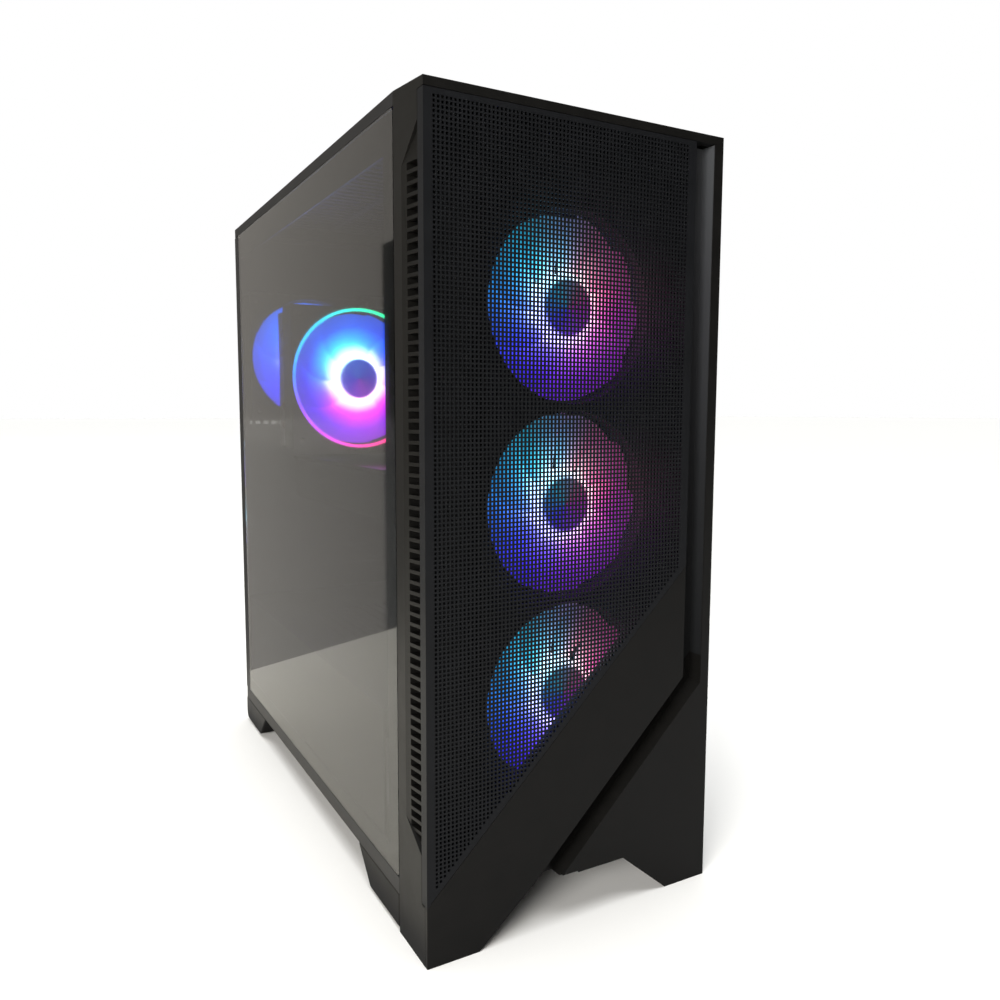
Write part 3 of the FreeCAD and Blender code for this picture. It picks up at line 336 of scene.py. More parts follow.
def satin_strip_painted_reflection():
    """Smoother than the bezel; a painted reflection makes it paler with height, so it stands out as a grey
    line.
    """
    made, tree, surface = new_material("satin grey ABS strip")
    place = add(tree, "ShaderNodeTexCoord").outputs["Object"]
    height = add(tree, "ShaderNodeSeparateXYZ", {0: place}).outputs["Z"]
    foot, top = 0.14, 0.485
    share = add(tree, "ShaderNodeMapRange", {"Value": height, "From Min": foot, "From Max": top})
    tint = add(tree, "ShaderNodeValToRGB", {"Fac": share.outputs["Result"]})
    # Painted reflection: near black at the foot to pale grey at the top, standing in for room light mirrored
    # in the satin.
    paint_ramp(tint.color_ramp,
               [(0.0, "#191a1b"), (0.4, "#252628"), (0.75, "#36373a"), (1.0, "#46484b")])
    tree.links.new(tint.outputs["Color"], surface.inputs["Base Color"])
    set_surface(surface, Roughness=0.36, Specular_IOR_Level=0.4)
    return made


strip_points, strip_sides, strip_ends = channel_strip()
strip_mesh = bpy.data.meshes.new("channel_strip")
strip_mesh.from_pydata(strip_points.tolist(), [], strip_sides + strip_ends)
piece("channel_strip", strip_mesh, satin_strip_painted_reflection(), "bezel", "black_mould")


# ---- Front mesh ----
# A sheet of 1.2 mm steel punched with square holes 1.6 mm across, 2.5 mm apart,
# folded round the left corner and painted satin black.
def rib_lines(start, stop, before, after, pitch, hole):
    """Edges of ribs and holes: hole k starts at start + before + pitch * k, and both ends close it."""
    count = int((stop - after - start - before) / pitch)
    first = start + before + pitch * np.arange(count)
    inner = np.stack([first, first + hole], 1).ravel()
    return np.concatenate([[start], inner, [stop]])


def lattice(across, up):
    """Points of a flat grid in its own plane, and the column and row of each of its cells."""
    flat = np.stack(np.meshgrid(across, up), -1).reshape(-1, 2)
    col, row = np.meshgrid(np.arange(len(across) - 1), np.arange(len(up) - 1))
    return flat, col, row


def lattice_mesh(name, points, columns, col, row, keep):
    """Mesh of the cells that are kept."""
    corner = (row * columns + col)[keep]
    faces = np.stack([corner, corner + 1, corner + columns + 1, corner + columns], -1)
    mesh = bpy.data.meshes.new(name)
    mesh.from_pydata(points.tolist(), [], faces.tolist())
    return mesh


def mesh_sheet():
    """Flat grid of alternating ribs and holes, with the hole cells left out, thickened afterwards.

    The first line across repeats the left edge and is pushed back, which makes the folded side.
    A cell is left out where its column and its row are both holes inside the border. The sheet is
    cut along the band's slope.
    """
    pitch, hole, side_border, edge, top_edge = 2.56 * MM, 1.62 * MM, 5.5 * MM, 3.0 * MM, 1.5 * MM
    low, high = (np.array(c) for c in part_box("front_mesh"))
    rise = (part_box("diagonal_band")[1][2] - low[2]) / (high[0] - low[0])
    across = np.insert(rib_lines(low[0], high[0], side_border, edge, pitch, hole), 0, low[0])
    up = rib_lines(low[2], high[2], edge, top_edge, pitch, hole)
    flat, col, row = lattice(across, up)
    points = np.insert(flat, 1, low[1], 1)
    points[::len(across), 1] = high[1]
    seam = low[2] + rise * (across[col + 1] - low[0])
    inside = (col > 0) & (up[row] > seam + edge) & (up[row] > low[2] + edge)
    is_hole = inside & (col % 2 == 0) & (row % 2 == 1)
    above = up[row + 1] > low[2] + rise * (across[col] - low[0])
    mesh = lattice_mesh("front_mesh_punched", points, len(across), col, row, ~is_hole & above)
    work = bmesh.new()
    work.from_mesh(mesh)
    slant = np.array([-rise, 0, 1]) / math.hypot(rise, 1)
    whole = list(work.verts) + list(work.edges) + list(work.faces)
    bmesh.ops.bisect_plane(work, geom=whole, plane_co=tuple(low), plane_no=tuple(slant),
                           clear_inner=True)
    bmesh.ops.delete(work, geom=[v for v in work.verts if not v.link_faces], context="VERTS")
    bmesh.ops.recalc_face_normals(work, faces=work.faces)
    flat = next(f for f in work.faces if abs(f.normal.y) > 0.9)
    if flat.normal.y > 0:
        bmesh.ops.reverse_faces(work, faces=work.faces)
    work.to_mesh(mesh)
    work.free()
    return mesh


# Paint over punched steel: satin, and bluer and darker than the powder coat.
painted_mesh = grained("satin black paint on punched steel", "#101113", "#17181b", 0.6, 0.02, 0.5,
                       Specular_IOR_Level=0.35)


def thickened(flat, thickness):
    """Give a flat piece its sheet's thickness, away from the side its faces point to."""
    sheet = flat.modifiers.new("sheet", "SOLIDIFY")
    sheet.thickness = thickness
    sheet.offset = -1.0


thickened(piece("front_mesh_punched", mesh_sheet(), painted_mesh, "bezel", "mesh_steel", "front_mesh"),
          1.1 * MM)


# ---- Glass side ----
# One 4 mm pane of lightly smoked tempered glass with polished edges, bonded to a
# folded steel strip that two thumbscrews hold to the rear wall.
def smoked_glass():
    """Clear body with a grey tint, polished smooth; faint smears wide as a hand dull its gloss."""
    made, tree, surface = new_material("smoked tempered glass")
    place = add(tree, "ShaderNodeTexCoord").outputs["Object"]
    smear_mm = 111
    smear = add(tree, "ShaderNodeTexNoise", {"Vector": place, "Scale": 1 / (smear_mm * MM), "Detail": 4.0})
    rough = add(tree, "ShaderNodeMapRange", {"Value": smear.outputs["Fac"], "To Min": 0.01, "To Max": 0.06})
    tree.links.new(rough.outputs["Result"], surface.inputs["Roughness"])
    set_surface(surface, Base_Color=colour("#a2a3a3"), Transmission_Weight=1.0, IOR=1.52)
    return made


coat(smoked_glass(), "glass_panel")


# ---- Case fans ----
# Three 120 mm fans behind the mesh and one on the rear wall. Each is a black
# PBT housing and a milky polycarbonate rotor, lit by coloured lamps in its hub.
def grid_faces(rows, columns, first=0):
    """Quads of a rows by columns grid whose columns close on themselves."""
    row, col = np.meshgrid(np.arange(rows - 1), np.arange(columns), indexing="ij")
    here, below, after = row * columns, (row + 1) * columns, (col + 1) % columns
    corners = (here + col, here + after, below + after, below + col)
    return first + np.stack([c.ravel() for c in corners], -1)


def revolve(profile, centre, axis, turns=64):
    """Surface of revolution: each (radius, height) of the profile carried once round the axis."""
    profile = np.array(profile) * MM
    angle = np.linspace(0, 2 * np.pi, turns, endpoint=False)
    radius, height = profile[:, :1], np.repeat(profile[:, 1:], turns, 1)
    across, over = radius * np.cos(angle), radius * np.sin(angle)
    order = {"x": (height, across, over), "y": (across, height, over), "z": (across, over, height)}[axis]
    points = np.stack(order, -1).reshape(-1, 3) + np.array(centre)
    return points, grid_faces(len(profile), turns)


def tube_bar(start, stop, radius_mm, sides):
    """Straight round bar with flat ends from one point to another, in metres."""
    start, stop = np.array(start, float), np.array(stop, float)
    along = (stop - start) / np.linalg.norm(stop - start)
    side = np.cross(along, (0.3, 0.5, 0.8))
    side /= np.linalg.norm(side)
    other = np.cross(along, side)
    angle = np.linspace(0, 2 * np.pi, sides, endpoint=False)[:, None]
    ring = radius_mm * MM * (np.cos(angle) * side + np.sin(angle) * other)
    ends = [np.repeat([end], sides, 0) for end in (start, stop)]
    return np.concatenate([ends[0], start + ring, stop + ring, ends[1]]), grid_faces(4, sides)


def slab(low, high):
    """A box between two corners, in metres."""
    low, high = np.array(low, float), np.array(high, float)
    pick = np.array([[i & 1, (i >> 1) & 1, (i >> 2) & 1] for i in range(8)])
    points = low + pick * (high - low)
    return points, np.array([(0, 2, 3, 1), (4, 5, 7, 6), (0, 1, 5, 4), (2, 6, 7, 3), (0, 4, 6, 2),
                             (1, 3, 7, 5)])


def shaped(name, parts, bevel_mm=0.0, smooth_deg=None):
    """One mesh from several (points, faces) parts: poles merged, normals outwards, hard edges rounded."""
    points, faces, first = [], [], 0
    for part_points, part_faces in parts:
        points.append(part_points)
        faces += (np.asarray(part_faces) + first).tolist()
        first += len(part_points)
    mesh = bpy.data.meshes.new(name)
    mesh.from_pydata(np.concatenate(points).tolist(), [], faces)
    work = bmesh.new()
    work.from_mesh(mesh)
    bmesh.ops.remove_doubles(work, verts=work.verts, dist=0.001 * MM)
    bmesh.ops.recalc_face_normals(work, faces=work.faces)
    if bevel_mm:
        round_edges(work, bevel_mm, 40)
    if smooth_deg:
        turn = math.radians(smooth_deg)
        for face in work.faces:
            face.smooth = True
        for edge in work.edges:
            edge.smooth = len(edge.link_faces) == 2 and edge.calc_face_angle(0) < turn
    work.to_mesh(mesh)
    work.free()
    return mesh


def blades(centre, axis, hub, tip, count, width_deg, pitch_mm, sweep_deg):
    """Fan blades: an ellipse-thin section carried from hub to tip.

    At radius r the section is width_deg wide about an angle that lags by sweep_deg times
    (r - hub) / (tip - hub) squared, and it climbs pitch_mm across its width. Towards the tip it
    grows narrower and flatter.
    """
    stages, sides, half_thick_mm, flatter, narrower = 14, 18, 0.7, 0.25, 0.08
    part_points, part_faces = [], []
    ratio = np.linspace(0, 1, stages)[:, None]
    radius = (hub + (tip - hub) * ratio) * MM
    turn = np.linspace(0, 2 * np.pi, sides, endpoint=False)[None, :]
    chord = 0.5 * np.cos(turn)
    climb = (pitch_mm * (1 - flatter * ratio) * -chord + half_thick_mm * np.sin(turn)) * MM
    for index in range(count):
        lag = index * 360 / count - sweep_deg * ratio ** 2
        angle = np.radians(lag + width_deg * (1 - narrower * ratio) * chord)
        across, over = radius * np.cos(angle), radius * np.sin(angle)
        level = np.broadcast_to(climb, across.shape)
        order = {"y": (across, level, over), "z": (across, over, level)}[axis]
        points = np.stack(order, -1)
        ends = np.concatenate([points[:1].mean(1, keepdims=True).repeat(sides, 1), points,
                               points[-1:].mean(1, keepdims=True).repeat(sides, 1)])
        part_points.append(ends.reshape(-1, 3) + np.array(centre))
        part_faces.append(grid_faces(stages + 2, sides, index * (stages + 2) * sides))
    return np.concatenate(part_points), np.concatenate(part_faces)


LIT_REACH = 60.0  # mm, from a fan's middle to the side of its housing


def lit_plastic(name, centre, inner, outer, glow, whiten, strength):
    """Milky polycarbonate that glows: colour by angle round the hub, brightness by distance from it.

    Inner and outer hues are (angle in turns, hex) stops from the left side round over the
    bottom; the inner ones hold from 0.29 to 0.42 of the reach and give way to the outer by
    0.75. Glow and whiten are (distance in reaches, grey hex) stops.
    """
    made, tree, surface = new_material(name)
    place = add(tree, "ShaderNodeTexCoord").outputs["Object"]
    local = add(tree, "ShaderNodeMapping", {"Vector": place, "Location": tuple(-c for c in centre)})
    flat = add(tree, "ShaderNodeVectorMath", {0: local.outputs["Vector"], 1: (1.0, 0.0, 1.0)},
               operation="MULTIPLY")
    parts = add(tree, "ShaderNodeSeparateXYZ", {0: flat.outputs["Vector"]})
    angle = add(tree, "ShaderNodeMath", {0: parts.outputs["Z"], 1: parts.outputs["X"]},
                operation="ARCTAN2")
    turn = add(tree, "ShaderNodeMapRange",
               {"Value": angle.outputs[0], "From Min": -math.pi, "From Max": math.pi})
    far = add(tree, "ShaderNodeVectorMath", {0: flat.outputs["Vector"]}, operation="LENGTH")
    share = add(tree, "ShaderNodeMath", {0: far.outputs["Value"], 1: 1 / (LIT_REACH * MM)},
                operation="MULTIPLY")

    def ramp(source, stops):
        node = add(tree, "ShaderNodeValToRGB", {"Fac": source})
        paint_ramp(node.color_ramp, stops)
        return node.outputs["Color"]

    rim = ramp(share.outputs[0],
               [(0.27, "#ffffff"), (0.29, "#000000"), (0.42, "#000000"), (0.75, "#ffffff")])
    hue = add(tree, "ShaderNodeMix", {0: rim, 6: ramp(turn.outputs["Result"], inner),
                                      7: ramp(turn.outputs["Result"], outer)}, data_type="RGBA")
    washed = add(tree, "ShaderNodeMix", {0: ramp(share.outputs[0], whiten), 6: hue.outputs[2],
                                         7: colour("#ffffff")}, data_type="RGBA")
    shone = add(tree, "ShaderNodeMix", {0: 1.0, 6: washed.outputs[2],
                                        7: ramp(share.outputs[0], glow)},
                data_type="RGBA", blend_type="MULTIPLY")
    tree.links.new(shone.outputs[2], surface.inputs["Emission Color"])
    set_surface(surface, Base_Color=colour("#3c3e44"), Roughness=0.32, IOR=1.58, Subsurface_Weight=0.2,
                Subsurface_Scale=0.004, Emission_Strength=strength)
    return made


def middle_of(node):
    """Centre of a CAD node's box at rest."""
    low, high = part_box(node)
    return (np.array(low) + np.array(high)) / 2


def rotor_mesh(name, centre, axis, hub, tip, thick, width_deg, sweep_deg):
    """Hub cap with a raised centre disc, and nine curved blades that climb 0.8 of its thickness."""
    top = -thick / 2
    cap = [(0, top), (hub * 0.8, top), (hub * 0.82, top + 0.8), (hub - 2, top + 0.8),
           (hub - 0.6, top + 1.4), (hub, top + 3), (hub, -top), (0, -top)]
    fan = blades(centre, axis, hub - 1, tip, 9, width_deg, thick * 0.8, sweep_deg)
    return shaped(name, [revolve(cap, centre, axis), fan], smooth_deg=40)


FRONT_INNER = [(0.0, "#3c78f0"), (0.1, "#4048ff"), (0.2, "#7050f8"), (0.32, "#c050d8"), (0.45, "#d048b0"),
               (0.55, "#d85090"), (0.66, "#c07890"), (0.75, "#70b0d8"), (0.86, "#38c8e8"), (0.94, "#38a0f0"),
               (1.0, "#3c78f0")]
FRONT_OUTER = [(0.0, "#1f66c8"), (0.08, "#2c3ce0"), (0.16, "#3d22dc"), (0.25, "#6a20d0"), (0.34, "#8020c0"),
               (0.42, "#8c18ac"), (0.5, "#90189a"), (0.58, "#983078"), (0.67, "#804468"), (0.75, "#50709c"),
               (0.84, "#1f8cac"), (0.92, "#1c82b8"), (1.0, "#1f66c8")]
FRONT_GLOW = [(0.0, "#7a7a7a"), (0.26, "#848484"), (0.3, "#ffffff"), (0.38, "#f8f8f8"), (0.48, "#d0d0d0"),
              (0.62, "#b2b2b2"), (0.8, "#949494"), (1.0, "#626262")]
FRONT_WHITE = [(0.0, "#000000"), (0.26, "#1c1c1c"), (0.3, "#909090"), (0.36, "#9c9c9c"), (0.42, "#606060"),
               (0.52, "#282828"), (0.62, "#000000")]
CASE_HUB, CASE_TIP, CASE_THICK, CASE_SWEEP = 21.0, 56.0, 16.0, 24.0


def lit_fan(housing, rotor, mesh_name, width_deg, label, slot, hues, greys, strength):
    """A milky rotor in the middle of its housing, lit from the hub."""
    hub_place = middle_of(housing)
    rotor_place = np.array([hub_place[0], middle_of(rotor)[1], hub_place[2]])
    milky = lit_plastic("milky polycarbonate, " + label, hub_place, *hues, *greys, strength)
    mesh = rotor_mesh(mesh_name, rotor_place, "y", CASE_HUB, CASE_TIP, CASE_THICK, width_deg, CASE_SWEEP)
    piece(rotor + "_lit", mesh, milky, rotor, slot, rotor)


for number in (1, 2, 3):
    lit_fan("front_fan_frame_%d" % number, "front_rotor_%d" % number, "front_rotor", 56.0,
            "front fan %d" % number, "fan_blade_front", (FRONT_INNER, FRONT_OUTER),
            (FRONT_GLOW, FRONT_WHITE), 4.2)
# Glass fibres at the surface take the gloss off the black.
pbt = grained("black glass-filled PBT", "#101012", "#18181a", 0.5, 0.03, 0.5)
for node in ("front_fan_frame_1", "front_fan_frame_2", "front_fan_frame_3", "rear_fan_frame",
             "cooler_fan_frame"):
    softened(node, 0.8, pbt)


# ---- Rear fan and cooler fan ----
# The same housings and rotors in the tower's brighter lamps; the cooler's fan also
# has a thin light ring let into the front of its housing.
REAR_HUES = [(0.0, "#2048f0"), (0.12, "#3030f8"), (0.25, "#4428f8"), (0.35, "#5a28f0"), (0.5, "#3048f0"),
             (0.66, "#1060e8"), (0.75, "#0868f0"), (0.9, "#1058f0"), (1.0, "#2048f0")]
COOLER_INNER = [(0.0, "#3c90ff"), (0.07, "#9050ff"), (0.14, "#f020f0"), (0.25, "#ff10e0"), (0.36, "#ff08d0"),
                (0.48, "#8030ff"), (0.62, "#2060ff"), (0.75, "#00c8ff"), (0.85, "#00e8ff"), (0.94, "#10c8ff"),
                (1.0, "#3c90ff")]
COOLER_OUTER = [(0.0, "#2c28ff"), (0.1, "#5a10ff"), (0.2, "#9010ff"), (0.3, "#a00cf0"), (0.42, "#7010e0"),
                (0.55, "#2828e8"), (0.66, "#0048f0"), (0.78, "#0060ff"), (0.9, "#0054ff"), (1.0, "#2c28ff")]
RING_HUES = [(0.0, "#2870f0"), (0.06, "#7040f0"), (0.13, "#b832ee"), (0.22, "#e02ca8"), (0.32, "#e83070"),
             (0.45, "#e06050"), (0.55, "#a0a040"), (0.66, "#20d070"), (0.75, "#10dcac"), (0.83, "#08c8e1"),
             (0.93, "#10a8f0"), (1.0, "#2870f0")]
BRIGHT_GLOW = [(0.0, "#707070"), (0.27, "#787878"), (0.29, "#ffffff"), (0.42, "#f4f4f4"), (0.55, "#c0c0c0"),
               (0.75, "#a0a0a0"), (1.0, "#787878")]
BRIGHT_WHITE = [(0.0, "#000000"), (0.27, "#000000"), (0.29, "#c0c0c0"), (0.38, "#b0b0b0"), (0.5, "#303030"),
                (0.6, "#000000")]
for fan, hues, power in (("rear", (REAR_HUES, REAR_HUES), 14.0),
                         ("cooler", (COOLER_INNER, COOLER_OUTER), 10.0)):
    lit_fan(fan + "_fan_frame", fan + "_rotor", fan + "_rotor", 54.0, fan + " fan", "fan_blade_lit", hues,
            (BRIGHT_GLOW, BRIGHT_WHITE), power)
ring_place = middle_of("cooler_fan_frame")
ring_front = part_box("cooler_fan_frame")[0][1]
RING_PROFILE = [(57.2, -0.6), (57.6, -1.0), (59.2, -1.0), (59.6, -0.6), (59.6, 0.4), (57.2, 0.4),
                (57.2, -0.6)]
ring_round = revolve(RING_PROFILE, (ring_place[0], ring_front, ring_place[2]), "y", 96)
ring_mesh = shaped("cooler_ring", [ring_round], smooth_deg=50)
EVEN_WHITE, EVEN_BLACK = ([(0.0, hexa), (1.0, hexa)] for hexa in ("#ffffff", "#000000"))
ring_light = lit_plastic("milky light guide ring", ring_place, RING_HUES, RING_HUES, EVEN_WHITE,
                         EVEN_BLACK, 7.0)
piece("cooler_light_ring", ring_mesh, ring_light, "chassis", "fan_blade_lit")


# ---- Motherboard ----
# A 1.6 mm fibreglass board with black solder mask over fine copper traces, carrying
# moulded sockets, chips and aluminium capacitors soldered to the side by the glass.
def solids_of(node):
    """Lowest and highest corner of each separate solid of a CAD node.

    Every vertex takes the smallest label among its neighbours until no label changes.
    """
    work = bmesh.new()
    work.from_mesh(frame["nodes"][node].data)
    bmesh.ops.remove_doubles(work, verts=work.verts, dist=0.001 * MM)
    work.verts.index_update()
    points = np.array([v.co for v in work.verts])
    ends = np.array([[v.index for v in e.verts] for e in work.edges])
    work.free()
    label = np.arange(len(points))
    while True:
        fresh = label.copy()
        smallest = label[ends].min(1)
        np.minimum.at(fresh, ends[:, 0], smallest)
        np.minimum.at(fresh, ends[:, 1], smallest)
        if (fresh == label).all():
            break
        label = fresh
    return [(points[label == k].min(0), points[label == k].max(0)) for k in np.unique(label)]


def circuit_board(name, mask_dark, mask_light, trace_mm):
    """Solder mask with slanted traces in patches and plated holes.

    Traces are bands of a sine across Y + Z, shown where a coarse cloud is high; holes are
    the middles of cells of a Voronoi pattern. A wave of scale 1 repeats every 0.314 m.
    """
    made, tree, surface = new_material(name)
    place = add(tree, "ShaderNodeTexCoord").outputs["Object"]
    wave_period, patch_mm, hole_mm = 0.314, 22.2, 5.26
    tilted = add(tree, "ShaderNodeMapping",
                 {"Vector": place, "Rotation": (math.radians(45), 0.0, 0.0)})
    bands = add(tree, "ShaderNodeTexWave",
                {"Vector": tilted.outputs["Vector"], "Scale": wave_period / (trace_mm * MM),
                 "Distortion": 0.6, "Detail": 1.0}, bands_direction="Y")
    cloud = add(tree, "ShaderNodeTexNoise", {"Vector": place, "Scale": 1 / (patch_mm * MM), "Detail": 2.0})
    patch = add(tree, "ShaderNodeMapRange",
                {"Value": cloud.outputs["Fac"], "From Min": 0.48, "From Max": 0.52})
    shown = add(tree, "ShaderNodeMath", {0: bands.outputs["Fac"], 1: patch.outputs["Result"]},
                operation="MULTIPLY")
    traced = add(tree, "ShaderNodeMix", {0: shown.outputs[0], 6: colour(mask_dark), 7: colour(mask_light)},
                 data_type="RGBA")
    cells = add(tree, "ShaderNodeTexVoronoi", {"Vector": place, "Scale": 1 / (hole_mm * MM)})
    plated = add(tree, "ShaderNodeMath", {0: cells.outputs["Distance"], 1: 0.11}, operation="LESS_THAN")
    whole = add(tree, "ShaderNodeMix", {0: plated.outputs[0], 6: traced.outputs[2], 7: colour("#6e6650")},
                data_type="RGBA")
    tree.links.new(whole.outputs[2], surface.inputs["Base Color"])
    relief = add(tree, "ShaderNodeBump", {"Height": shown.outputs[0], "Distance": 0.04 * MM, "Strength": 0.5})
    tree.links.new(relief.outputs["Normal"], surface.inputs["Normal"])
    set_surface(surface, Roughness=0.35)
    return made


def clear_places(low, high, size, count, taken, gap):
    """Up to count spots for parts of a size on the board, drawn in a fixed order, clear of taken boxes."""
    spots = []
    tries = count * 6
    for spot in RANDOM.uniform(low, high, (tries, 2)):
        near, far = spot - size / 2 - gap, spot + size / 2 + gap
        if all((near > b).any() or (far < a).any() for a, b in taken):
            taken.append((spot - size / 2, spot + size / 2))
            spots.append(spot)
        if len(spots) == count:
            break
    return spots


def on_board(y, z, half_y, half_z, rise_mm):
    """A box that stands on the board's face about a place."""
    low = (BOARD_LOW[0] - rise_mm * MM, y - half_y, z - half_z)
    return slab(low, (BOARD_LOW[0], y + half_y, z + half_z))


RANDOM = np.random.default_rng(11)
# Traces 1.1 mm apart, coarser than real so that they show as slanted lines.
solder_mask = circuit_board("black solder mask on fibreglass", "#0b0d0e", "#1a1f20", 1.1)
# Moulded with a fine grain: duller than the mask round the chips.
epoxy = grained("matt black epoxy of chips", "#0d0d0e", "#161617", 0.25, 0.02, 0.55)
# A slightly paler and glossier black than the chips.
socket_plastic = grained("black glass-filled nylon", "#111112", "#1a1a1b", 0.3, 0.02, 0.45)
coat(solder_mask, "motherboard", "graphics_board")
softened("board_sockets", 0.5, socket_plastic)
BOARD_LOW, BOARD_HIGH = (np.array(c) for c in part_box("motherboard"))
EDGE, SCREW_GAP, CHOKE_GAP, PART_GAP = 6 * MM, 2 * MM, 1.5 * MM, 0.8 * MM
taken = [(np.array(a)[1:], np.array(b)[1:])
         for node in ("board_sockets", "board_heatsinks", "m2_drive", "cooler_base", "memory_sticks",
                      "rear_ports", "graphics_board")
         for a, b in solids_of(node)]
taken += [(np.array(a)[1:] - SCREW_GAP, np.array(b)[1:] + SCREW_GAP) for a, b in solids_of("case_fasteners")]
field = (BOARD_LOW[1:] + EDGE, BOARD_HIGH[1:] - EDGE)
chokes = [on_board(y, z, 3.4 * MM, 3.4 * MM, 4.5)
          for y, z in clear_places(*field, np.array([7.0, 7.0]) * MM, 12, taken, CHOKE_GAP)]
CAN = [(0, 0.0), (3.1, 0.0), (3.1, -0.9), (2.75, -1.3), (3.1, -1.7), (3.1, -7.4), (2.7, -7.8), (0, -7.8)]
drums = [revolve(CAN, (BOARD_LOW[0], y, z), "x", 20)
         for y, z in clear_places(*field, np.array([6.4, 6.4]) * MM, 30, taken, PART_GAP)]
chips = []
for wide, tall, count in ((14.0, 14.0, 2), (9.0, 7.0, 8), (5.0, 4.0, 22), (2.0, 1.2, 60)):
    half_y, half_z = np.array([wide, tall]) * MM / 2
    for y, z in clear_places(*field, np.array([wide, tall]) * MM, count, taken, PART_GAP):
        chips.append(on_board(y, z, half_y, half_z, 0.6 + 0.05 * wide))
# Bare drawn aluminium: pale grey rounds among the black parts.
can_metal, _, can_surface = new_material("aluminium capacitor can")
set_surface(can_surface, Base_Color=colour("#8f8f8d"), Metallic=1.0, Roughness=0.38)
piece("board_chips", shaped("board_chips", chips), epoxy, "chassis", "board_black")
piece("board_chokes", shaped("board_chokes", chokes, 0.6), socket_plastic, "chassis", "socket_plastic")
piece("board_capacitors", shaped("board_capacitors", drums, smooth_deg=40), can_metal, "chassis",
      "bare_steel")


# ---- Heatsinks, memory and solid-state drive ----
# Extruded aluminium blocks, sawn into fins, bead-blasted and anodised black, are
# screwed over the hot chips; the memory wears thin pressed shields of the same.
def finned(low, high, upright, across, base_mm, pitch_mm, fin_mm):
    """A base plate against the high side of one axis, and plain fins on it, side by side along another."""
    low, high = np.array(low, float), np.array(high, float)
    foot_low = low.copy()
    foot_low[upright] = high[upright] - base_mm * MM
    parts = [slab(foot_low, high)]
    span = (high[across] - low[across]) / MM
    count = int((span - fin_mm) // pitch_mm) + 1
    step = (span - fin_mm) / max(count - 1, 1) * MM
    for index in range(count):
        fin_low, fin_high = low.copy(), high.copy()
        fin_low[across] = low[across] + index * step
        fin_high[across] = fin_low[across] + fin_mm * MM
        fin_high[upright] = foot_low[upright]
        parts.append(slab(fin_low, fin_high))
    return parts


# Blasted, then dyed: a soft grey sheen on black.
black_anodised = grained("black anodised aluminium", "#141415", "#1f1f21", 0.35, 0.02, 0.34, Metallic=0.7)
sink_parts = []
for low, high in solids_of("board_heatsinks"):
    narrow = 1 if high[1] - low[1] < high[2] - low[2] else 2
    sink_parts += finned(low, high, 0, narrow, 4.0, 5.2, 2.2)
piece("board_heatsinks_sawn", shaped("board_heatsinks_sawn", sink_parts, 0.25), black_anodised, "chassis",
      slot_of("board_heatsinks"), "board_heatsinks")
softened("memory_sticks", 0.6, black_anodised)
softened("m2_drive", 0.3, epoxy)


# ---- Cooler ----
# A copper-based tower cooler: four 6 mm heat pipes pressed through a stack of thin
# plain aluminium fins, held to the board by a steel bar.
def brushed_metal(name, dark, light, stretch, rough):
    """Rolled or drawn metal: streaks 16.7 mm long in colour and roughness, thinner where stretched."""
    made, tree, surface = new_material(name)
    place = add(tree, "ShaderNodeTexCoord").outputs["Object"]
    drawn = add(tree, "ShaderNodeMapping", {"Vector": place, "Scale": stretch})
    streak_mm = 16.7
    streak = add(tree, "ShaderNodeTexNoise",
                 {"Vector": drawn.outputs["Vector"], "Scale": 1 / (streak_mm * MM), "Detail": 5.0})
    clouded(tree, surface, streak.outputs["Fac"], dark, light, rough, 0.08)
    set_surface(surface, Metallic=1.0)
    return made


# Fin stock and pipe show streaks 1.2 to 1.4 mm wide; the plated steels are more even.
fin_metal = brushed_metal("rolled aluminium fin stock", "#7d7e80", "#a9aaac", (1.0, 12.0, 12.0), 0.3)
copper = brushed_metal("drawn copper heat pipe", "#8a4a2c", "#b8693f", (1.0, 14.0, 14.0), 0.26)
bare_steel = brushed_metal("zinc-plated steel", "#85868a", "#aaabad", (3.0, 3.0, 10.0), 0.33)
black_screw = brushed_metal("black zinc-plated screw steel", "#191a1c", "#2c2d30", (4.0, 4.0, 4.0), 0.36)
coat(fin_metal, "cooler_fins")
coat(copper, "cooler_pipes")
softened("cooler_base", 0.5, bare_steel)


# ---- Graphics card ----
# A black board under a stack of aluminium fins and a moulded shroud with two fans
# that blow up into them; a thin pressed backplate covers the board.
softened("graphics_shroud", 1.4, moulded_abs)
softened("graphics_backplate", 0.4, black_anodised)
sink_fins = finned(*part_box("graphics_sink"), 2, 1, 3.0, 2.6, 0.5)
piece("graphics_sink_fins", shaped("graphics_sink_fins", sink_fins), fin_metal, "chassis",
      slot_of("graphics_sink"), "graphics_sink")


def flat_fan(node, hub, tip, thick, width_deg, sweep_deg):
    """A moulded rotor about an upright axle, which stands where the node's joint does."""
    joints = frame["record"]["behaviour"]["joints"]
    hub_place = np.array(next(j["pos_m"] for j in joints if j["child"] == node))
    hub_place[2] = middle_of(node)[2]
    mesh = rotor_mesh(node, hub_place, "z", hub, tip, thick, width_deg, sweep_deg)
    piece(node + "_moulded", mesh, pbt, node, slot_of(node), node)


for number in (1, 2):
    flat_fan("graphics_rotor_%d" % number, 16.0, 41.0, 10.0, 44.0, 26.0)


# ---- Power supply ----
# A folded steel case with a 120 mm fan below behind welded wire rings; the mains
# socket and the rocker switch are clipped into its rear face.
def wire_ring(radius_mm, centre):
    """A torus about Z: a circle of the wire's radius carried round a larger circle."""
    around = np.linspace(0, 2 * np.pi, 13)[::-1]
    profile = np.stack([radius_mm + WIRE * np.cos(around), WIRE * np.sin(around)], 1)
    return revolve(profile, centre, "z", 56)


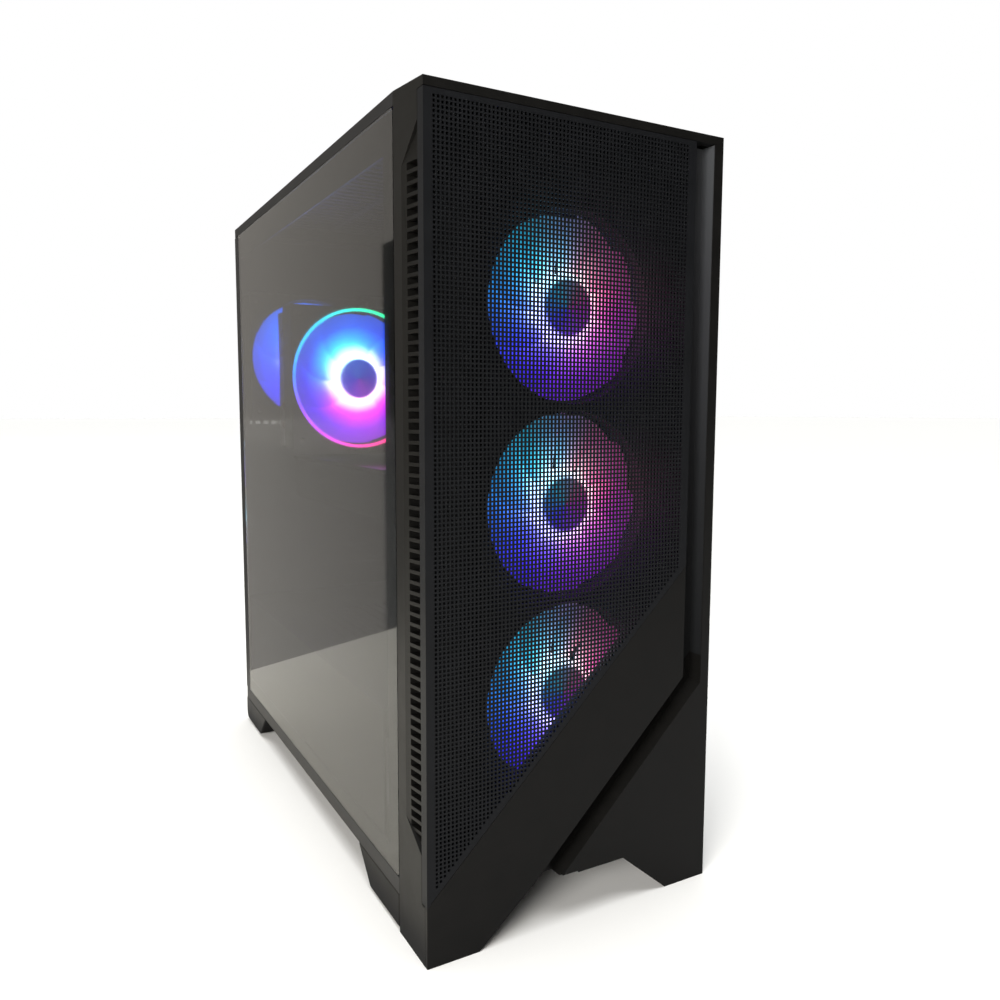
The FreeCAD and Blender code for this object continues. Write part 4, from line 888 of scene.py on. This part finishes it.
WIRE = 0.55  # mm, half the wire's thickness
grille_low, grille_high = (np.array(c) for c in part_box("psu_grille"))
grille_middle = (grille_low + grille_high) / 2
reach = (grille_high[0] - grille_low[0]) / 2 - 0.6 * MM
wires = [wire_ring(r, grille_middle) for r in (12.0, 24.0, 36.0, 48.0, 57.0)]
for angle in np.radians([45, 135]):
    arm = np.array([math.cos(angle), math.sin(angle), 0]) * reach
    wires.append(tube_bar(grille_middle - arm, grille_middle + arm, WIRE, 12))
piece("psu_grille_wires", shaped("psu_grille_wires", wires, smooth_deg=50), black_screw, "chassis",
      slot_of("psu_grille"), "psu_grille")
flat_fan("psu_rotor", 20.0, 54.0, 16.0, 46.0, 22.0)
softened("psu_inlet", 0.4, socket_plastic)
softened("psu_switch", 0.5, socket_plastic)


# ---- Disk drive and its sled ----
# A cast aluminium disk drive with a pressed steel lid, in a moulded sled that slides
# into the steel cage under the shroud.
# Left as cast: a dull grey metal with a slight grain.
cast_aluminium = grained("die-cast aluminium", "#6f7072", "#8b8c8e", 0.6, 0.06, 0.42, Metallic=1.0)
softened("hard_drive", 0.8, cast_aluminium)
softened("drive_sled", 0.5, moulded_abs)


# ---- Rear fittings ----
# A stamped steel shield round the board's plug sockets, vented slot covers, pan-head
# screws in black zinc, and thumbscrews with a knurled rim.
def knurled(low, high):
    """A turned head about Y whose rim is cut into teeth.

    The rim's radius is R on two steps out of four round it and R minus 0.35 mm on the other
    two; the face has a shallow dish.
    """
    teeth, notch_mm, rim_share = 28, 0.35, 0.85
    radius = (high[0] - low[0]) / 2
    deep = high[1] - low[1]
    profile = np.array([(0, 0), (1, 0), (1, 0.82), (0.9, 1), (0.62, 1), (0.56, 0.78), (0, 0.78)])
    turns = teeth * 4
    angle = np.linspace(0, 2 * np.pi, turns, endpoint=False)
    notch = np.where(np.arange(turns) % 4 < 2, 0.0, notch_mm * MM)
    reach = profile[:, :1] * radius - np.where(profile[:, :1] > rim_share, 1.0, 0.0) * notch
    across, over = reach * np.cos(angle), reach * np.sin(angle)
    level = np.repeat(profile[:, 1:] * deep, turns, 1)
    middle = (low + high) / 2
    foot = np.array([middle[0], low[1], middle[2]])
    return np.stack([across, level, over], -1).reshape(-1, 3) + foot, grid_faces(len(profile), turns)


for node in ("glass_thumbscrews", "panel_thumbscrews"):
    heads = [knurled(low, high) for low, high in solids_of(node)]
    piece(node + "_knurled", shaped(node + "_knurled", heads), black_screw, body_of(node),
          slot_of(node), node)
coat(black_screw, "case_fasteners")
coat(bare_steel, "io_shield")
softened("rear_ports", 0.35, bare_steel)
SHELL, TONGUE_GAP, TONGUE = 1.4 * MM, 0.02 * MM, 0.3 * MM
tongues = [slab((low[0] + SHELL, high[1] + TONGUE_GAP, low[2] + SHELL),
                (high[0] - SHELL, high[1] + TONGUE, high[2] - SHELL))
           for low, high in solids_of("rear_ports")]
piece("rear_port_tongues", shaped("rear_port_tongues", tongues, 0.1), socket_plastic, "chassis",
      "socket_plastic")


# ---- Dust filters ----
# Woven nylon, 1 mm apart, welded into a thin rim: a magnetic sheet in the top's pocket
# and a drawer under the power supply. The weave is drawn at 2.6 mm so that it shows.
def woven_sheet(name, low, high, rim_mm, pitch_mm, thread_mm):
    """Flat grid at the high side with its open cells left out: rim, then alternate gaps and threads."""
    def lines(start, stop):
        open_span = stop - start - 2 * rim_mm * MM
        count = max(int(open_span / (pitch_mm * MM)), 1)
        step = open_span / count
        first = start + rim_mm * MM + step * np.arange(count)
        inner = np.stack([first, first + step - thread_mm * MM], 1).ravel()
        return np.concatenate([[start], inner, [stop]])

    across, along = lines(low[0], high[0]), lines(low[1], high[1])
    flat, col, row = lattice(across, along)
    keep = ~((col % 2 == 1) & (row % 2 == 1))
    return lattice_mesh(name, np.insert(flat, 2, high[2], 1), len(across), col, row, keep)


# Plain threads with little gloss, so the weave reads as a dark grey cloth.
nylon = grained("black woven nylon", "#121213", "#1c1c1d", 0.4, 0.03, 0.6)
WEAVE, THREAD = 2.6, 0.8
for node, rim_mm in (("top_filter", 5.0), ("psu_filter", 6.0)):
    low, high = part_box(node)
    woven = woven_sheet(node, low, high, rim_mm, WEAVE, THREAD)
    made = piece(node + "_woven", woven, nylon, body_of(node), slot_of(node), node)
    thickened(made, high[2] - low[2])


# ---- Controls on the top ----
# A moulded strip near the front holds a round power button, a small reset button, two
# USB sockets with steel shells and two audio jacks.
# A polished mould leaves the buttons glossier than the strip round them.
gloss_abs = grained("polished black ABS", "#0e0e0f", "#151516", 0.8, 0.01, 0.2)
softened("io_panel", 0.3, moulded_abs)
softened("io_sockets", 0.15, bare_steel)
softened("power_button", 0.5, gloss_abs)
softened("reset_button", 0.4, gloss_abs)
